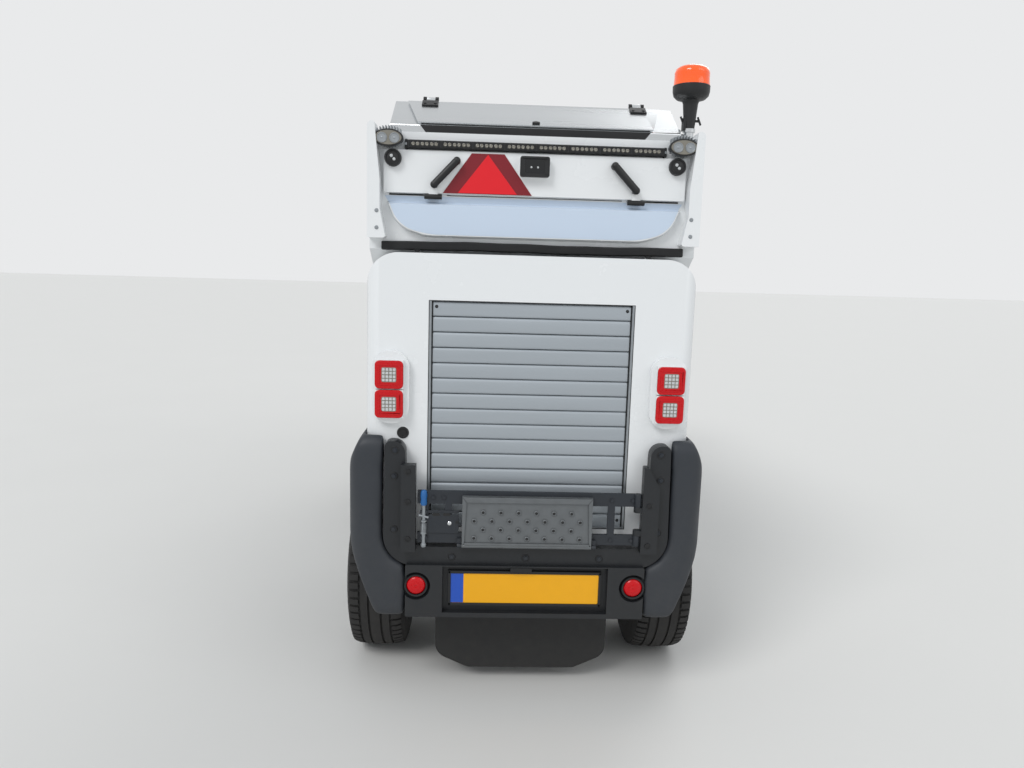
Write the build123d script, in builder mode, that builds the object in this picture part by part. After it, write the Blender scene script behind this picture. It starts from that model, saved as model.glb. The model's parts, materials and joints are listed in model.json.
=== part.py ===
"""Compact four-wheeled street sweeper, cab in front, tipping hopper behind, millimetres.

The machine faces -Y, +X is its left side and +Z is up. The origin is on the ground under the middle
of the overall length. Stations along Y are given from the front axle or the rear axle.
"""

from build123d import *
from math import hypot
import os

os.makedirs("parts", exist_ok=True)

# Driving dimensions of the whole machine
WHEELBASE = 2000
REAR_REACH = 545
BRUSH_AHEAD = 1245
BRUSH_RADIUS = 340
REAR_AXLE_Y = (WHEELBASE + BRUSH_AHEAD + BRUSH_RADIUS - REAR_REACH) / 2
FRONT_AXLE_Y = REAR_AXLE_Y - WHEELBASE
MOVING_GAP = 6
SEAT_GAP = 0.3
PIN_GAP = 0.1

# Wheels: 225 mm tyres on 15 inch rims
TYRE_RADIUS = 335
TYRE_WIDTH = 225
WHEEL_CENTRE_X = 551
RIM_RADIUS = 190
RIM_WIDTH = 165
RIM_WALL = 8
HUB_BORE_RADIUS = 32
STUB_RADIUS = HUB_BORE_RADIUS - PIN_GAP
WHEEL_NUT_CIRCLE = 62
KINGPIN_X = 470

# Chassis rails
RAIL_INSIDE_X = 185
RAIL_OUTSIDE_X = 265
RAIL_LOW_Z = 430
RAIL_HIGH_Z = 550
AXLE_TUBE_RADIUS = 45
SPRING_THICK = 24
SPRING_WIDTH = 60

# Rear body stations, measured back from the rear axle
PLATE_BACK = 510
BUMPER_BACK = 530
TRIM_BACK = 512
HOOD_BACK = 460
DOOR_BACK = 391
HOPPER_BACK = 370
FIN_BACK = 430

# Hopper
HOPPER_HALF_WIDTH = 562
HOPPER_WALL = 30
HOPPER_TOP_Z = 1990
HOPPER_LOW_Z = 1000
HOPPER_SILL_Z = 1600
TIP_PIVOT_Y = REAR_AXLE_Y + 424
TIP_PIVOT_Z = 1572
TIP_REACH = 1880
FLOOR_FRONT_Y = REAR_AXLE_Y - 576
SEAM_Z = 1777
DOOR_TOP_Z = 1928

# Hood over the engine at the back
HOOD_HALF_WIDTH = 561
HOOD_WALL = 16
HOOD_TOP_Z = 1588
SHUTTER_HALF_WIDTH = 350
SHUTTER_LOW_Z = 641
SHUTTER_HIGH_Z = 1431
SLAT_COUNT = 15

# Cab
CAB_HALF_WIDTH = 590
CAB_WALL = 35
NOSE_AHEAD = 1060
CAB_BACK = 285
CAB_TOP_Z = 1985
BELT_Z = 1010
GLASS_THICK = 6
GLASS_INSET = 12

# Front brushes on their arms
ARM_PIVOT_X = 300
ARM_PIVOT_AHEAD = 730
ELBOW_FROM_PIVOT = 70
ARM_Z = 340
BRUSH_X = 355
BRUSH_FLOOR_GAP = 40
BRUSH_DISC_Z = 215


def push(face, amount, direction, mode):
    """Extrudes a face along a direction and combines it with the part being built."""
    add(extrude(face, amount=amount, dir=direction, mode=Mode.PRIVATE), mode=mode)


def side_block(outline, x_low, x_high, corner=0, mode=Mode.ADD):
    """A block with a side-view outline of (y, z) points, from x_low to x_high."""
    with BuildSketch(Plane.YZ.offset(x_low)) as face:
        with BuildLine():
            FilletPolyline(*outline, radius=corner, close=True)
        make_face()
    push(face.sketch, abs(x_high - x_low), (1 if x_high > x_low else -1, 0, 0), mode)


def front_block(outline, y_low, y_high, corner=0, mode=Mode.ADD):
    """A block with a front-view outline of (x, z) points, from y_low to y_high."""
    with BuildSketch(Plane.XZ.offset(-y_low)) as face:
        with BuildLine():
            FilletPolyline(*outline, radius=corner, close=True)
        make_face()
    push(face.sketch, y_high - y_low, (0, 1, 0), mode)


def plan_block(outline, z_low, z_high, corner=0, mode=Mode.ADD):
    """A block with a plan outline of (x, y) points, from z_low to z_high."""
    with BuildSketch(Plane.XY.offset(z_low)) as face:
        with BuildLine():
            FilletPolyline(*outline, radius=corner, close=True)
        make_face()
    push(face.sketch, z_high - z_low, (0, 0, 1), mode)


def box_between(x, y, z, mode=Mode.ADD):
    """A box between pairs of x, y and z values."""
    centre = ((x[0] + x[1]) / 2, (y[0] + y[1]) / 2, (z[0] + z[1]) / 2)
    with Locations(centre):
        Box(abs(x[1] - x[0]), abs(y[1] - y[0]), abs(z[1] - z[0]), mode=mode)


def rod_between(start, end, radius, mode=Mode.ADD):
    """A round bar from one point to another."""
    axis = Vector(*end) - Vector(*start)
    with BuildSketch(Plane(origin=start, z_dir=axis)) as face:
        Circle(radius)
    extrude(face.sketch, amount=axis.length, mode=mode)


def mirrored(half):
    """The same outline points with x turned over, in reverse, to close a symmetric outline."""
    return [(-x, v) for x, v in reversed(half)]


def split_rows(rows):
    """The points and the corner radii of a table of (across, up, radius) rows."""
    return [(across, up) for across, up, radius in rows], [radius for across, up, radius in rows]


def inset_outline(points, radii, inset):
    """Moves every edge of a closed outline inward by inset, or outward if it is negative."""
    count = len(points)
    doubled_area = 0
    for index in range(count):
        x0, v0 = points[index]
        x1, v1 = points[(index + 1) % count]
        doubled_area += x0 * v1 - x1 * v0
    turn = 1 if doubled_area > 0 else -1
    moved = []
    moved_radii = []
    for index in range(count):
        before = points[index - 1]
        corner = points[index]
        after = points[(index + 1) % count]
        length_in = hypot(corner[0] - before[0], corner[1] - before[1])
        length_out = hypot(after[0] - corner[0], after[1] - corner[1])
        in_x, in_v = (corner[0] - before[0]) / length_in, (corner[1] - before[1]) / length_in
        out_x, out_v = (after[0] - corner[0]) / length_out, (after[1] - corner[1]) / length_out
        spread = 1 + in_x * out_x + in_v * out_v
        moved.append(
            (
                corner[0] - turn * inset * (in_v + out_v) / spread,
                corner[1] + turn * inset * (in_x + out_x) / spread,
            )
        )
        bend = turn * (in_x * out_v - in_v * out_x)
        radius = radii[index] - inset if bend > 0 else radii[index] + inset
        moved_radii.append(max(radius, 1) if radii[index] else 0)
    return moved, moved_radii


def save(builder, name):
    """Labels a finished piece and writes it."""
    builder.part.label = name
    export_step(builder.part, f"parts/{name}.step")


# Wheels

RIM_INSIDE_X = WHEEL_CENTRE_X - RIM_WIDTH / 2
RIM_OUTSIDE_X = WHEEL_CENTRE_X + RIM_WIDTH / 2
DISC_X = WHEEL_CENTRE_X + 30
DISC_THICK = 12
HUB_LENGTH = 34
HAND_HOLE_RADIUS = 20
HAND_HOLE_CIRCLE = 118
BEAD_HALF = RIM_WIDTH / 2 - 9
TYRE_HALF_SECTION = [
    # distance from the middle of the tread, radius
    (BEAD_HALF, RIM_RADIUS + SEAT_GAP),
    (BEAD_HALF, RIM_RADIUS + 18),
    (TYRE_WIDTH / 2, RIM_RADIUS + 62),
    (TYRE_WIDTH / 2 - 6, TYRE_RADIUS - 36),
    (TYRE_WIDTH / 2 - 20, TYRE_RADIUS - 7),
    (TYRE_WIDTH / 2 - 46, TYRE_RADIUS),
]

WHEELS = [
    # name, side, axle station
    ("front_left", 1, FRONT_AXLE_Y),
    ("front_right", -1, FRONT_AXLE_Y),
    ("rear_left", 1, REAR_AXLE_Y),
    ("rear_right", -1, REAR_AXLE_Y),
]

for wheel_name, side, axle_y in WHEELS:
    wheel_plane = Plane(origin=(0, axle_y, TYRE_RADIUS), x_dir=(side, 0, 0), z_dir=(0, -side, 0))
    wheel_axis = Axis((0, axle_y, TYRE_RADIUS), (1, 0, 0))
    outer = [(WHEEL_CENTRE_X + across, radius) for across, radius in TYRE_HALF_SECTION]
    inner = [(WHEEL_CENTRE_X - across, radius) for across, radius in reversed(TYRE_HALF_SECTION)]
    with BuildPart() as tyre:
        with BuildSketch(wheel_plane) as tyre_section:
            with BuildLine():
                Polyline(*outer, *inner, close=True)
            make_face()
        revolve(axis=wheel_axis)
    save(tyre, f"tyre_{wheel_name}")

    with BuildPart() as rim:
        with BuildSketch(wheel_plane) as rim_section:
            with BuildLine():
                Polyline(
                    (RIM_INSIDE_X, RIM_RADIUS + 14),
                    (RIM_INSIDE_X, RIM_RADIUS - RIM_WALL),
                    (DISC_X - 28, RIM_RADIUS - RIM_WALL),
                    (DISC_X - 28, HUB_BORE_RADIUS + 60),
                    (DISC_X - 6, HUB_BORE_RADIUS + 44),
                    (DISC_X - 6, HUB_BORE_RADIUS),
                    (DISC_X + HUB_LENGTH, HUB_BORE_RADIUS),
                    (DISC_X + HUB_LENGTH, HUB_BORE_RADIUS + 14),
                    (DISC_X + DISC_THICK, HUB_BORE_RADIUS + 18),
                    (DISC_X + DISC_THICK, HUB_BORE_RADIUS + 50),
                    (DISC_X - 14, HUB_BORE_RADIUS + 68),
                    (DISC_X - 14, RIM_RADIUS - RIM_WALL),
                    (RIM_OUTSIDE_X, RIM_RADIUS - RIM_WALL),
                    (RIM_OUTSIDE_X, RIM_RADIUS + 14),
                    (RIM_OUTSIDE_X - 7, RIM_RADIUS),
                    (RIM_INSIDE_X + 7, RIM_RADIUS),
                    close=True,
                )
            make_face()
        revolve(axis=wheel_axis)
        face_plane = Plane(
            origin=(side * (DISC_X + DISC_THICK), axle_y, TYRE_RADIUS), z_dir=(side, 0, 0)
        )
        with BuildSketch(face_plane) as hand_holes:
            with PolarLocations(HAND_HOLE_CIRCLE, 8):
                Circle(HAND_HOLE_RADIUS)
        extrude(hand_holes.sketch, amount=-60, mode=Mode.SUBTRACT)
        with BuildSketch(face_plane) as wheel_nuts:
            with PolarLocations(WHEEL_NUT_CIRCLE, 6):
                RegularPolygon(10, 6)
        extrude(wheel_nuts.sketch, amount=12)
    save(rim, f"rim_{wheel_name}")

# Axles, knuckles and springs

STUB_END_X = DISC_X + HUB_LENGTH - 6
HUB_FLANGE_X = DISC_X - 6 - SEAT_GAP
HUB_FLANGE_RADIUS = 66
DRUM_RADIUS = 120
DRUM_X = 536
SPRING_SEAT_Z = TYRE_RADIUS + AXLE_TUBE_RADIUS
SPRING_X = (RAIL_INSIDE_X + RAIL_OUTSIDE_X) / 2
SPRING_REACH = 330
KINGPIN_RADIUS = 16
KINGPIN_HALF_HEIGHT = 82
YOKE_HALF_HEIGHT = 34

REAR_AXLE_SECTION = [
    # distance from the middle, radius
    (STUB_END_X, 0),
    (STUB_END_X, STUB_RADIUS),
    (HUB_FLANGE_X, STUB_RADIUS),
    (HUB_FLANGE_X, HUB_FLANGE_RADIUS),
    (DRUM_X, HUB_FLANGE_RADIUS),
    (DRUM_X, DRUM_RADIUS),
    (480, DRUM_RADIUS),
    (480, HUB_FLANGE_RADIUS),
    (400, HUB_FLANGE_RADIUS),
    (400, AXLE_TUBE_RADIUS),
    (120, AXLE_TUBE_RADIUS),
    (55, 100),
]

axle_plane = Plane(origin=(0, REAR_AXLE_Y, TYRE_RADIUS), x_dir=(1, 0, 0), z_dir=(0, -1, 0))
with BuildPart() as rear_axle:
    with BuildSketch(axle_plane) as axle_section:
        with BuildLine():
            Polyline(*REAR_AXLE_SECTION, *mirrored(REAR_AXLE_SECTION), close=True)
        make_face()
    revolve(axis=Axis((0, REAR_AXLE_Y, TYRE_RADIUS), (1, 0, 0)))
    for side in (1, -1):
        box_between(
            (side * (SPRING_X - 40), side * (SPRING_X + 40)),
            (REAR_AXLE_Y - 50, REAR_AXLE_Y + 50),
            (TYRE_RADIUS, SPRING_SEAT_Z),
        )
save(rear_axle, "rear_axle")

with BuildPart() as front_axle:
    box_between(
        (-KINGPIN_X + 30, KINGPIN_X - 30),
        (FRONT_AXLE_Y - 36, FRONT_AXLE_Y + 36),
        (TYRE_RADIUS - YOKE_HALF_HEIGHT, TYRE_RADIUS + YOKE_HALF_HEIGHT),
    )
    for side in (1, -1):
        rod_between(
            (side * KINGPIN_X, FRONT_AXLE_Y, TYRE_RADIUS - YOKE_HALF_HEIGHT),
            (side * KINGPIN_X, FRONT_AXLE_Y, TYRE_RADIUS + YOKE_HALF_HEIGHT),
            34,
        )
        rod_between(
            (side * KINGPIN_X, FRONT_AXLE_Y, TYRE_RADIUS - KINGPIN_HALF_HEIGHT),
            (side * KINGPIN_X, FRONT_AXLE_Y, TYRE_RADIUS + KINGPIN_HALF_HEIGHT),
            KINGPIN_RADIUS,
        )
        box_between(
            (side * (SPRING_X - 40), side * (SPRING_X + 40)),
            (FRONT_AXLE_Y - 50, FRONT_AXLE_Y + 50),
            (TYRE_RADIUS, SPRING_SEAT_Z),
        )
save(front_axle, "front_axle")

for side, side_name in ((1, "left"), (-1, "right")):
    with BuildPart() as knuckle:
        for level in (1, -1):
            inner_z = TYRE_RADIUS + level * (YOKE_HALF_HEIGHT + SEAT_GAP)
            outer_z = TYRE_RADIUS + level * KINGPIN_HALF_HEIGHT
            rod_between(
                (side * KINGPIN_X, FRONT_AXLE_Y, inner_z), (side * KINGPIN_X, FRONT_AXLE_Y, outer_z), 32
            )
            box_between(
                (side * KINGPIN_X, side * (KINGPIN_X + 62)),
                (FRONT_AXLE_Y - 30, FRONT_AXLE_Y + 30),
                (inner_z, outer_z),
            )
        rod_between(
            (side * (KINGPIN_X + 40), FRONT_AXLE_Y, TYRE_RADIUS),
            (side * HUB_FLANGE_X, FRONT_AXLE_Y, TYRE_RADIUS),
            HUB_FLANGE_RADIUS,
        )
        rod_between(
            (side * (KINGPIN_X + 42), FRONT_AXLE_Y, TYRE_RADIUS),
            (side * DRUM_X, FRONT_AXLE_Y, TYRE_RADIUS),
            DRUM_RADIUS,
        )
        rod_between(
            (side * HUB_FLANGE_X, FRONT_AXLE_Y, TYRE_RADIUS),
            (side * STUB_END_X, FRONT_AXLE_Y, TYRE_RADIUS),
            STUB_RADIUS,
        )
        rod_between(
            (side * KINGPIN_X, FRONT_AXLE_Y, TYRE_RADIUS - KINGPIN_HALF_HEIGHT - 1),
            (side * KINGPIN_X, FRONT_AXLE_Y, TYRE_RADIUS + KINGPIN_HALF_HEIGHT + 1),
            KINGPIN_RADIUS + PIN_GAP,
            mode=Mode.SUBTRACT,
        )
        rod_between(
            (side * KINGPIN_X, FRONT_AXLE_Y, TYRE_RADIUS - YOKE_HALF_HEIGHT - SEAT_GAP),
            (side * KINGPIN_X, FRONT_AXLE_Y, TYRE_RADIUS + YOKE_HALF_HEIGHT + SEAT_GAP),
            38,
            mode=Mode.SUBTRACT,
        )
    save(knuckle, f"knuckle_{side_name}")

# Chassis frame with the tipping hinge posts, the cylinder feet and the brush arm hinges

ARM_PIN_RADIUS = 12
TIP_CYLINDER_X = 380
CYLINDER_FOOT_Y = REAR_AXLE_Y - 255
CYLINDER_FOOT_Z = 500
CYLINDER_PIN_RADIUS = 12

TIP_LUG_X = 405
TIP_LUG_THICK = 15
TIP_LUG_RADIUS = 14
TIP_PIN_RADIUS = 8
TIP_POST_WIDTH = 45
RAIL_FRONT_Y = FRONT_AXLE_Y - ARM_PIVOT_AHEAD + 30
CROSSMEMBERS = [
    # front edge, back edge, half width
    (RAIL_FRONT_Y, RAIL_FRONT_Y + 40, 350),
    (REAR_AXLE_Y - 430, REAR_AXLE_Y - 370, RAIL_OUTSIDE_X),
    (REAR_AXLE_Y + 350, REAR_AXLE_Y + 410, 455),
]

with BuildPart() as chassis_frame:
    for side in (1, -1):
        box_between(
            (side * RAIL_INSIDE_X, side * RAIL_OUTSIDE_X),
            (RAIL_FRONT_Y, REAR_AXLE_Y + 450),
            (RAIL_LOW_Z, RAIL_HIGH_Z),
        )
    for y_front, y_back, half_width in CROSSMEMBERS:
        box_between((-half_width, half_width), (y_front, y_back), (RAIL_LOW_Z + 10, RAIL_HIGH_Z - 10))
    for side in (1, -1):
        box_between(
            (side * TIP_LUG_X, side * (TIP_LUG_X + TIP_POST_WIDTH)),
            (REAR_AXLE_Y + 355, REAR_AXLE_Y + 405),
            (RAIL_HIGH_Z - 20, 1500),
        )
        side_block(
            [
                (REAR_AXLE_Y + 360, 1490),
                (REAR_AXLE_Y + 405, 1490),
                (TIP_PIVOT_Y + TIP_LUG_RADIUS, TIP_PIVOT_Z - 20),
                (TIP_PIVOT_Y + TIP_LUG_RADIUS, TIP_PIVOT_Z + TIP_LUG_RADIUS),
                (TIP_PIVOT_Y - TIP_LUG_RADIUS, TIP_PIVOT_Z + TIP_LUG_RADIUS),
            ],
            side * TIP_LUG_X,
            side * (TIP_LUG_X + TIP_LUG_THICK),
            corner=[2, 2, 6, 10, 10],
        )
        rod_between(
            (side * (TIP_LUG_X - TIP_LUG_THICK - 2), TIP_PIVOT_Y, TIP_PIVOT_Z),
            (side * TIP_LUG_X, TIP_PIVOT_Y, TIP_PIVOT_Z),
            TIP_PIN_RADIUS,
        )
        for z_low, z_high in ((RAIL_LOW_Z + 10, RAIL_LOW_Z + 35), (RAIL_HIGH_Z - 35, RAIL_HIGH_Z - 10)):
            box_between(
                (side * (ARM_PIVOT_X - 30), side * (ARM_PIVOT_X + 30)),
                (RAIL_FRONT_Y - 60, RAIL_FRONT_Y + 10),
                (z_low, z_high),
            )
    for side in (1, -1):
        rod_between(
            (side * ARM_PIVOT_X, FRONT_AXLE_Y - ARM_PIVOT_AHEAD, RAIL_LOW_Z + 10),
            (side * ARM_PIVOT_X, FRONT_AXLE_Y - ARM_PIVOT_AHEAD, RAIL_HIGH_Z - 10),
            ARM_PIN_RADIUS,
        )
        box_between(
            (side * (RAIL_OUTSIDE_X - 5), side * (TIP_CYLINDER_X - 42)),
            (CYLINDER_FOOT_Y - 32, CYLINDER_FOOT_Y + 32),
            (CYLINDER_FOOT_Z - 36, CYLINDER_FOOT_Z + 36),
        )
        rod_between(
            (side * (TIP_CYLINDER_X - 44), CYLINDER_FOOT_Y, CYLINDER_FOOT_Z),
            (side * (TIP_CYLINDER_X + 18), CYLINDER_FOOT_Y, CYLINDER_FOOT_Z),
            CYLINDER_PIN_RADIUS,
        )
    for axle_y in (FRONT_AXLE_Y, REAR_AXLE_Y):
        for side in (1, -1):
            with BuildSketch(Plane.YZ.offset(side * SPRING_X - SPRING_WIDTH / 2)) as leaf:
                with BuildLine():
                    low = ThreePointArc(
                        (axle_y - SPRING_REACH, RAIL_LOW_Z - 14),
                        (axle_y, SPRING_SEAT_Z + SEAT_GAP),
                        (axle_y + SPRING_REACH, RAIL_LOW_Z - 14),
                    )
                    high = ThreePointArc(
                        (axle_y - SPRING_REACH, RAIL_LOW_Z + 4),
                        (axle_y, SPRING_SEAT_Z + SPRING_THICK),
                        (axle_y + SPRING_REACH, RAIL_LOW_Z + 4),
                    )
                    Line(low @ 0, high @ 0)
                    Line(low @ 1, high @ 1)
                make_face()
            extrude(leaf.sketch, amount=SPRING_WIDTH)
save(chassis_frame, "chassis_frame")

# Cab: one rounded volume, hollowed, then cut into shell, doors and glass

CAB_FLOOR_Z = RAIL_HIGH_Z + SEAT_GAP
ARCH_RADIUS = 420
ARCH_WALL = 30
ARCH_INSIDE_X = 275
DOOR_GAP = 5
DOOR_FRONT_Y = FRONT_AXLE_Y - 880
DOOR_REAR_Y = FRONT_AXLE_Y + 60
DOOR_HINGE_X = 604
DOOR_HINGE_Y = FRONT_AXLE_Y - 892
DOOR_HINGE_LEVELS = (700, 950)

CAB_SIDE_VIEW = [
    # y from the front axle, z, corner radius
    (CAB_BACK, CAB_FLOOR_Z, 0),
    (-935, CAB_FLOOR_Z, 0),
    (-950, 440, 0),
    (-1010, 440, 20),
    (-NOSE_AHEAD, 500, 30),
    (-NOSE_AHEAD, 840, 60),
    (-1010, 1020, 60),
    (-770, 1880, 60),
    (-690, CAB_TOP_Z, 60),
    (CAB_BACK, CAB_TOP_Z - 20, 30),
]
CAB_FRONT_VIEW = [
    # x, z, corner radius, left half from below the floor to above the roof
    (CAB_HALF_WIDTH - 25, 380, 0),
    (CAB_HALF_WIDTH, 560, 40),
    (CAB_HALF_WIDTH, BELT_Z, 0),
    (528, CAB_TOP_Z - 50, 45),
    (460, CAB_TOP_Z + 12, 45),
]
CAB_PLAN_VIEW = [
    # x, y from the front axle, corner radius, left half from behind the cab forward
    (CAB_HALF_WIDTH, CAB_BACK + 90, 0),
    (CAB_HALF_WIDTH, -840, 160),
    (470, -NOSE_AHEAD - 12, 110),
]
DOOR_OUTLINE = [
    # y, z, corner radius
    (DOOR_FRONT_Y, 600, 30),
    (DOOR_FRONT_Y, 1100, 60),
    (DOOR_FRONT_Y + 180, 1865, 40),
    (DOOR_REAR_Y, 1865, 40),
    (DOOR_REAR_Y, 600, 0),
]
DOOR_WINDOW = [
    (DOOR_FRONT_Y + 55, BELT_Z + 30, 30),
    (DOOR_FRONT_Y + 72, 1130, 30),
    (DOOR_FRONT_Y + 225, 1810, 30),
    (DOOR_REAR_Y - 60, 1810, 30),
    (DOOR_REAR_Y - 60, BELT_Z + 30, 30),
]
QUARTER_WINDOW = [
    (DOOR_REAR_Y + 60, BELT_Z + 30, 25),
    (DOOR_REAR_Y + 60, 1810, 25),
    (DOOR_REAR_Y + 165, 1810, 25),
    (DOOR_REAR_Y + 165, BELT_Z + 30, 25),
]
WINDSCREEN = [
    # x, z, corner radius, left half from the bottom up
    (470, 1085, 50),
    (425, 1850, 50),
]


def cab_volume(inset):
    """The cab's closed outer form, moved inward by inset."""
    side_points, side_radii = split_rows(CAB_SIDE_VIEW)
    side_points = [(FRONT_AXLE_Y + y, z) for y, z in side_points]
    half_points, half_radii = split_rows(CAB_FRONT_VIEW)
    front_points = half_points + mirrored(half_points)
    front_radii = half_radii + half_radii[::-1]
    plan_half, plan_radii = split_rows(CAB_PLAN_VIEW)
    plan_half = [(x, FRONT_AXLE_Y + y) for x, y in plan_half]
    plan_points = plan_half + mirrored(plan_half)
    plan_radii = plan_radii + plan_radii[::-1]
    side_points, side_radii = inset_outline(side_points, side_radii, inset)
    front_points, front_radii = inset_outline(front_points, front_radii, inset)
    plan_points, plan_radii = inset_outline(plan_points, plan_radii, inset)
    with BuildPart() as volume:
        with BuildSketch(Plane.YZ.offset(-700)) as side_face:
            with BuildLine():
                FilletPolyline(*side_points, radius=side_radii, close=True)
            make_face()
        push(side_face.sketch, 1400, (1, 0, 0), Mode.ADD)
        with BuildSketch(Plane.XZ.offset(-(FRONT_AXLE_Y - 1200))) as front_face:
            with BuildLine():
                FilletPolyline(*front_points, radius=front_radii, close=True)
            make_face()
        push(front_face.sketch, 1600, (0, 1, 0), Mode.INTERSECT)
        with BuildSketch(Plane.XY.offset(400)) as plan_face:
            with BuildLine():
                FilletPolyline(*plan_points, radius=plan_radii, close=True)
            make_face()
        push(plan_face.sketch, 1700, (0, 0, 1), Mode.INTERSECT)
    return volume.part


def side_prism(rows, side, grow=0.0):
    """A side-view outline pushed through one side wall of the cab, grown all round."""
    points, radii = inset_outline(*split_rows(rows), -grow)
    start = 480 if side > 0 else -650
    with BuildPart() as prism:
        with BuildSketch(Plane.YZ.offset(start)) as face:
            with BuildLine():
                FilletPolyline(*points, radius=radii, close=True)
            make_face()
        push(face.sketch, 170, (1, 0, 0), Mode.ADD)
    return prism.part


def windscreen_prism(grow=0.0):
    """The windscreen opening pushed through the front wall."""
    points, radii = split_rows(WINDSCREEN)
    points, radii = inset_outline(points + mirrored(points), radii + radii[::-1], -grow)
    with BuildPart() as prism:
        with BuildSketch(Plane.XZ.offset(-(FRONT_AXLE_Y - 1150))) as face:
            with BuildLine():
                FilletPolyline(*points, radius=radii, close=True)
            make_face()
        push(face.sketch, 470, (0, 1, 0), Mode.ADD)
    return prism.part


def wheel_arches(radius, inside_x):
    """Two discs about the front axle, from inside_x outward."""
    with BuildPart() as discs:
        for side in (1, -1):
            rod_between(
                (side * inside_x, FRONT_AXLE_Y, TYRE_RADIUS),
                (side * 700, FRONT_AXLE_Y, TYRE_RADIUS),
                radius,
            )
    return discs.part


cab_outer = cab_volume(0)
cab_inner = cab_volume(CAB_WALL)
glass_outer = cab_volume(GLASS_INSET)
glass_inner = cab_volume(GLASS_INSET + GLASS_THICK)

with BuildPart() as cab_wall:
    add(cab_inner)
    add(wheel_arches(ARCH_RADIUS + ARCH_WALL, ARCH_INSIDE_X - ARCH_WALL), mode=Mode.SUBTRACT)
cab_space = cab_wall.part

HEADLAMP_X = 400
HEADLAMP_Z = 690
HEADLAMP_RADIUS = 62
HEADLAMP_FACE_Y = FRONT_AXLE_Y - NOSE_AHEAD

with BuildPart() as cab_shell:
    add(cab_outer)
    add(cab_space, mode=Mode.SUBTRACT)
    add(wheel_arches(ARCH_RADIUS, ARCH_INSIDE_X), mode=Mode.SUBTRACT)
    for side in (1, -1):
        with BuildPart(mode=Mode.SUBTRACT):
            add(side_prism(DOOR_OUTLINE, side, grow=DOOR_GAP))
            add(wheel_arches(ARCH_RADIUS + 40, 400), mode=Mode.SUBTRACT)
        add(side_prism(QUARTER_WINDOW, side), mode=Mode.SUBTRACT)
        rod_between(
            (side * HEADLAMP_X, HEADLAMP_FACE_Y - 10, HEADLAMP_Z),
            (side * HEADLAMP_X, HEADLAMP_FACE_Y + 20, HEADLAMP_Z),
            HEADLAMP_RADIUS + SEAT_GAP,
            mode=Mode.SUBTRACT,
        )
    add(windscreen_prism(), mode=Mode.SUBTRACT)
    for side in (1, -1):
        for level in DOOR_HINGE_LEVELS:
            box_between(
                (side * (CAB_HALF_WIDTH - 30), side * (DOOR_HINGE_X + 8)),
                (DOOR_HINGE_Y - 8, DOOR_HINGE_Y + 8),
                (level + 20.3, level + 44),
            )
            rod_between(
                (side * DOOR_HINGE_X, DOOR_HINGE_Y, level - 20),
                (side * DOOR_HINGE_X, DOOR_HINGE_Y, level + 22),
                5,
            )
save(cab_shell, "cab_shell")

with BuildPart() as cab_glass:
    add(glass_outer)
    add(glass_inner, mode=Mode.SUBTRACT)
    with BuildPart(mode=Mode.INTERSECT):
        add(windscreen_prism(grow=-SEAT_GAP))
        for side in (1, -1):
            add(side_prism(QUARTER_WINDOW, side, grow=-SEAT_GAP))
save(cab_glass, "cab_glass")

for side, side_name in ((1, "left"), (-1, "right")):
    with BuildPart() as cab_door:
        add(cab_outer)
        add(cab_space, mode=Mode.SUBTRACT)
        add(side_prism(DOOR_OUTLINE, side), mode=Mode.INTERSECT)
        add(wheel_arches(ARCH_RADIUS + 46, 400), mode=Mode.SUBTRACT)
        add(side_prism(DOOR_WINDOW, side), mode=Mode.SUBTRACT)
        for level in DOOR_HINGE_LEVELS:
            rod_between(
                (side * DOOR_HINGE_X, DOOR_HINGE_Y, level - 20),
                (side * DOOR_HINGE_X, DOOR_HINGE_Y, level + 20),
                10,
            )
            box_between(
                (side * (DOOR_HINGE_X - 6), side * (DOOR_HINGE_X + 6)),
                (DOOR_HINGE_Y, DOOR_FRONT_Y + 30),
                (level - 20, level + 20),
            )
            box_between(
                (side * (CAB_HALF_WIDTH - 10), side * (DOOR_HINGE_X + 6)),
                (DOOR_FRONT_Y + 12, DOOR_FRONT_Y + 30),
                (level - 20, level + 20),
            )
            rod_between(
                (side * DOOR_HINGE_X, DOOR_HINGE_Y, level - 22),
                (side * DOOR_HINGE_X, DOOR_HINGE_Y, level + 22),
                5 + PIN_GAP,
                mode=Mode.SUBTRACT,
            )
    save(cab_door, f"cab_door_{side_name}")
    with BuildPart() as door_glass:
        add(glass_outer)
        add(glass_inner, mode=Mode.SUBTRACT)
        add(side_prism(DOOR_WINDOW, side, grow=-SEAT_GAP), mode=Mode.INTERSECT)
    save(door_glass, f"door_glass_{side_name}")

with BuildPart() as headlamps:
    for side in (1, -1):
        rod_between(
            (side * HEADLAMP_X, HEADLAMP_FACE_Y - 4, HEADLAMP_Z),
            (side * HEADLAMP_X, HEADLAMP_FACE_Y + 20 - SEAT_GAP, HEADLAMP_Z),
            HEADLAMP_RADIUS,
        )
save(headlamps, "headlamps")

MIRROR_X = 700
MIRROR_Y = FRONT_AXLE_Y - 985
MIRROR_ARM_Z = 1120
MIRROR_LOW_Z = 1290
MIRROR_HEIGHT = 300
MIRROR_PAD_SHARE = 0.4
nose_side, nose_front = [(x, FRONT_AXLE_Y + y) for x, y, radius in CAB_PLAN_VIEW[1:]]
nose_step = (nose_front[0] - nose_side[0], nose_front[1] - nose_side[1])
nose_length = hypot(*nose_step)
nose_out = (-nose_step[1] / nose_length, nose_step[0] / nose_length)


def off_nose(side, height):
    """A point at a distance from the cab's slanting front corner, where the mirror arm stands."""
    return (
        side * (nose_side[0] + MIRROR_PAD_SHARE * nose_step[0] + nose_out[0] * height),
        nose_side[1] + MIRROR_PAD_SHARE * nose_step[1] + nose_out[1] * height,
        MIRROR_ARM_Z,
    )


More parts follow.
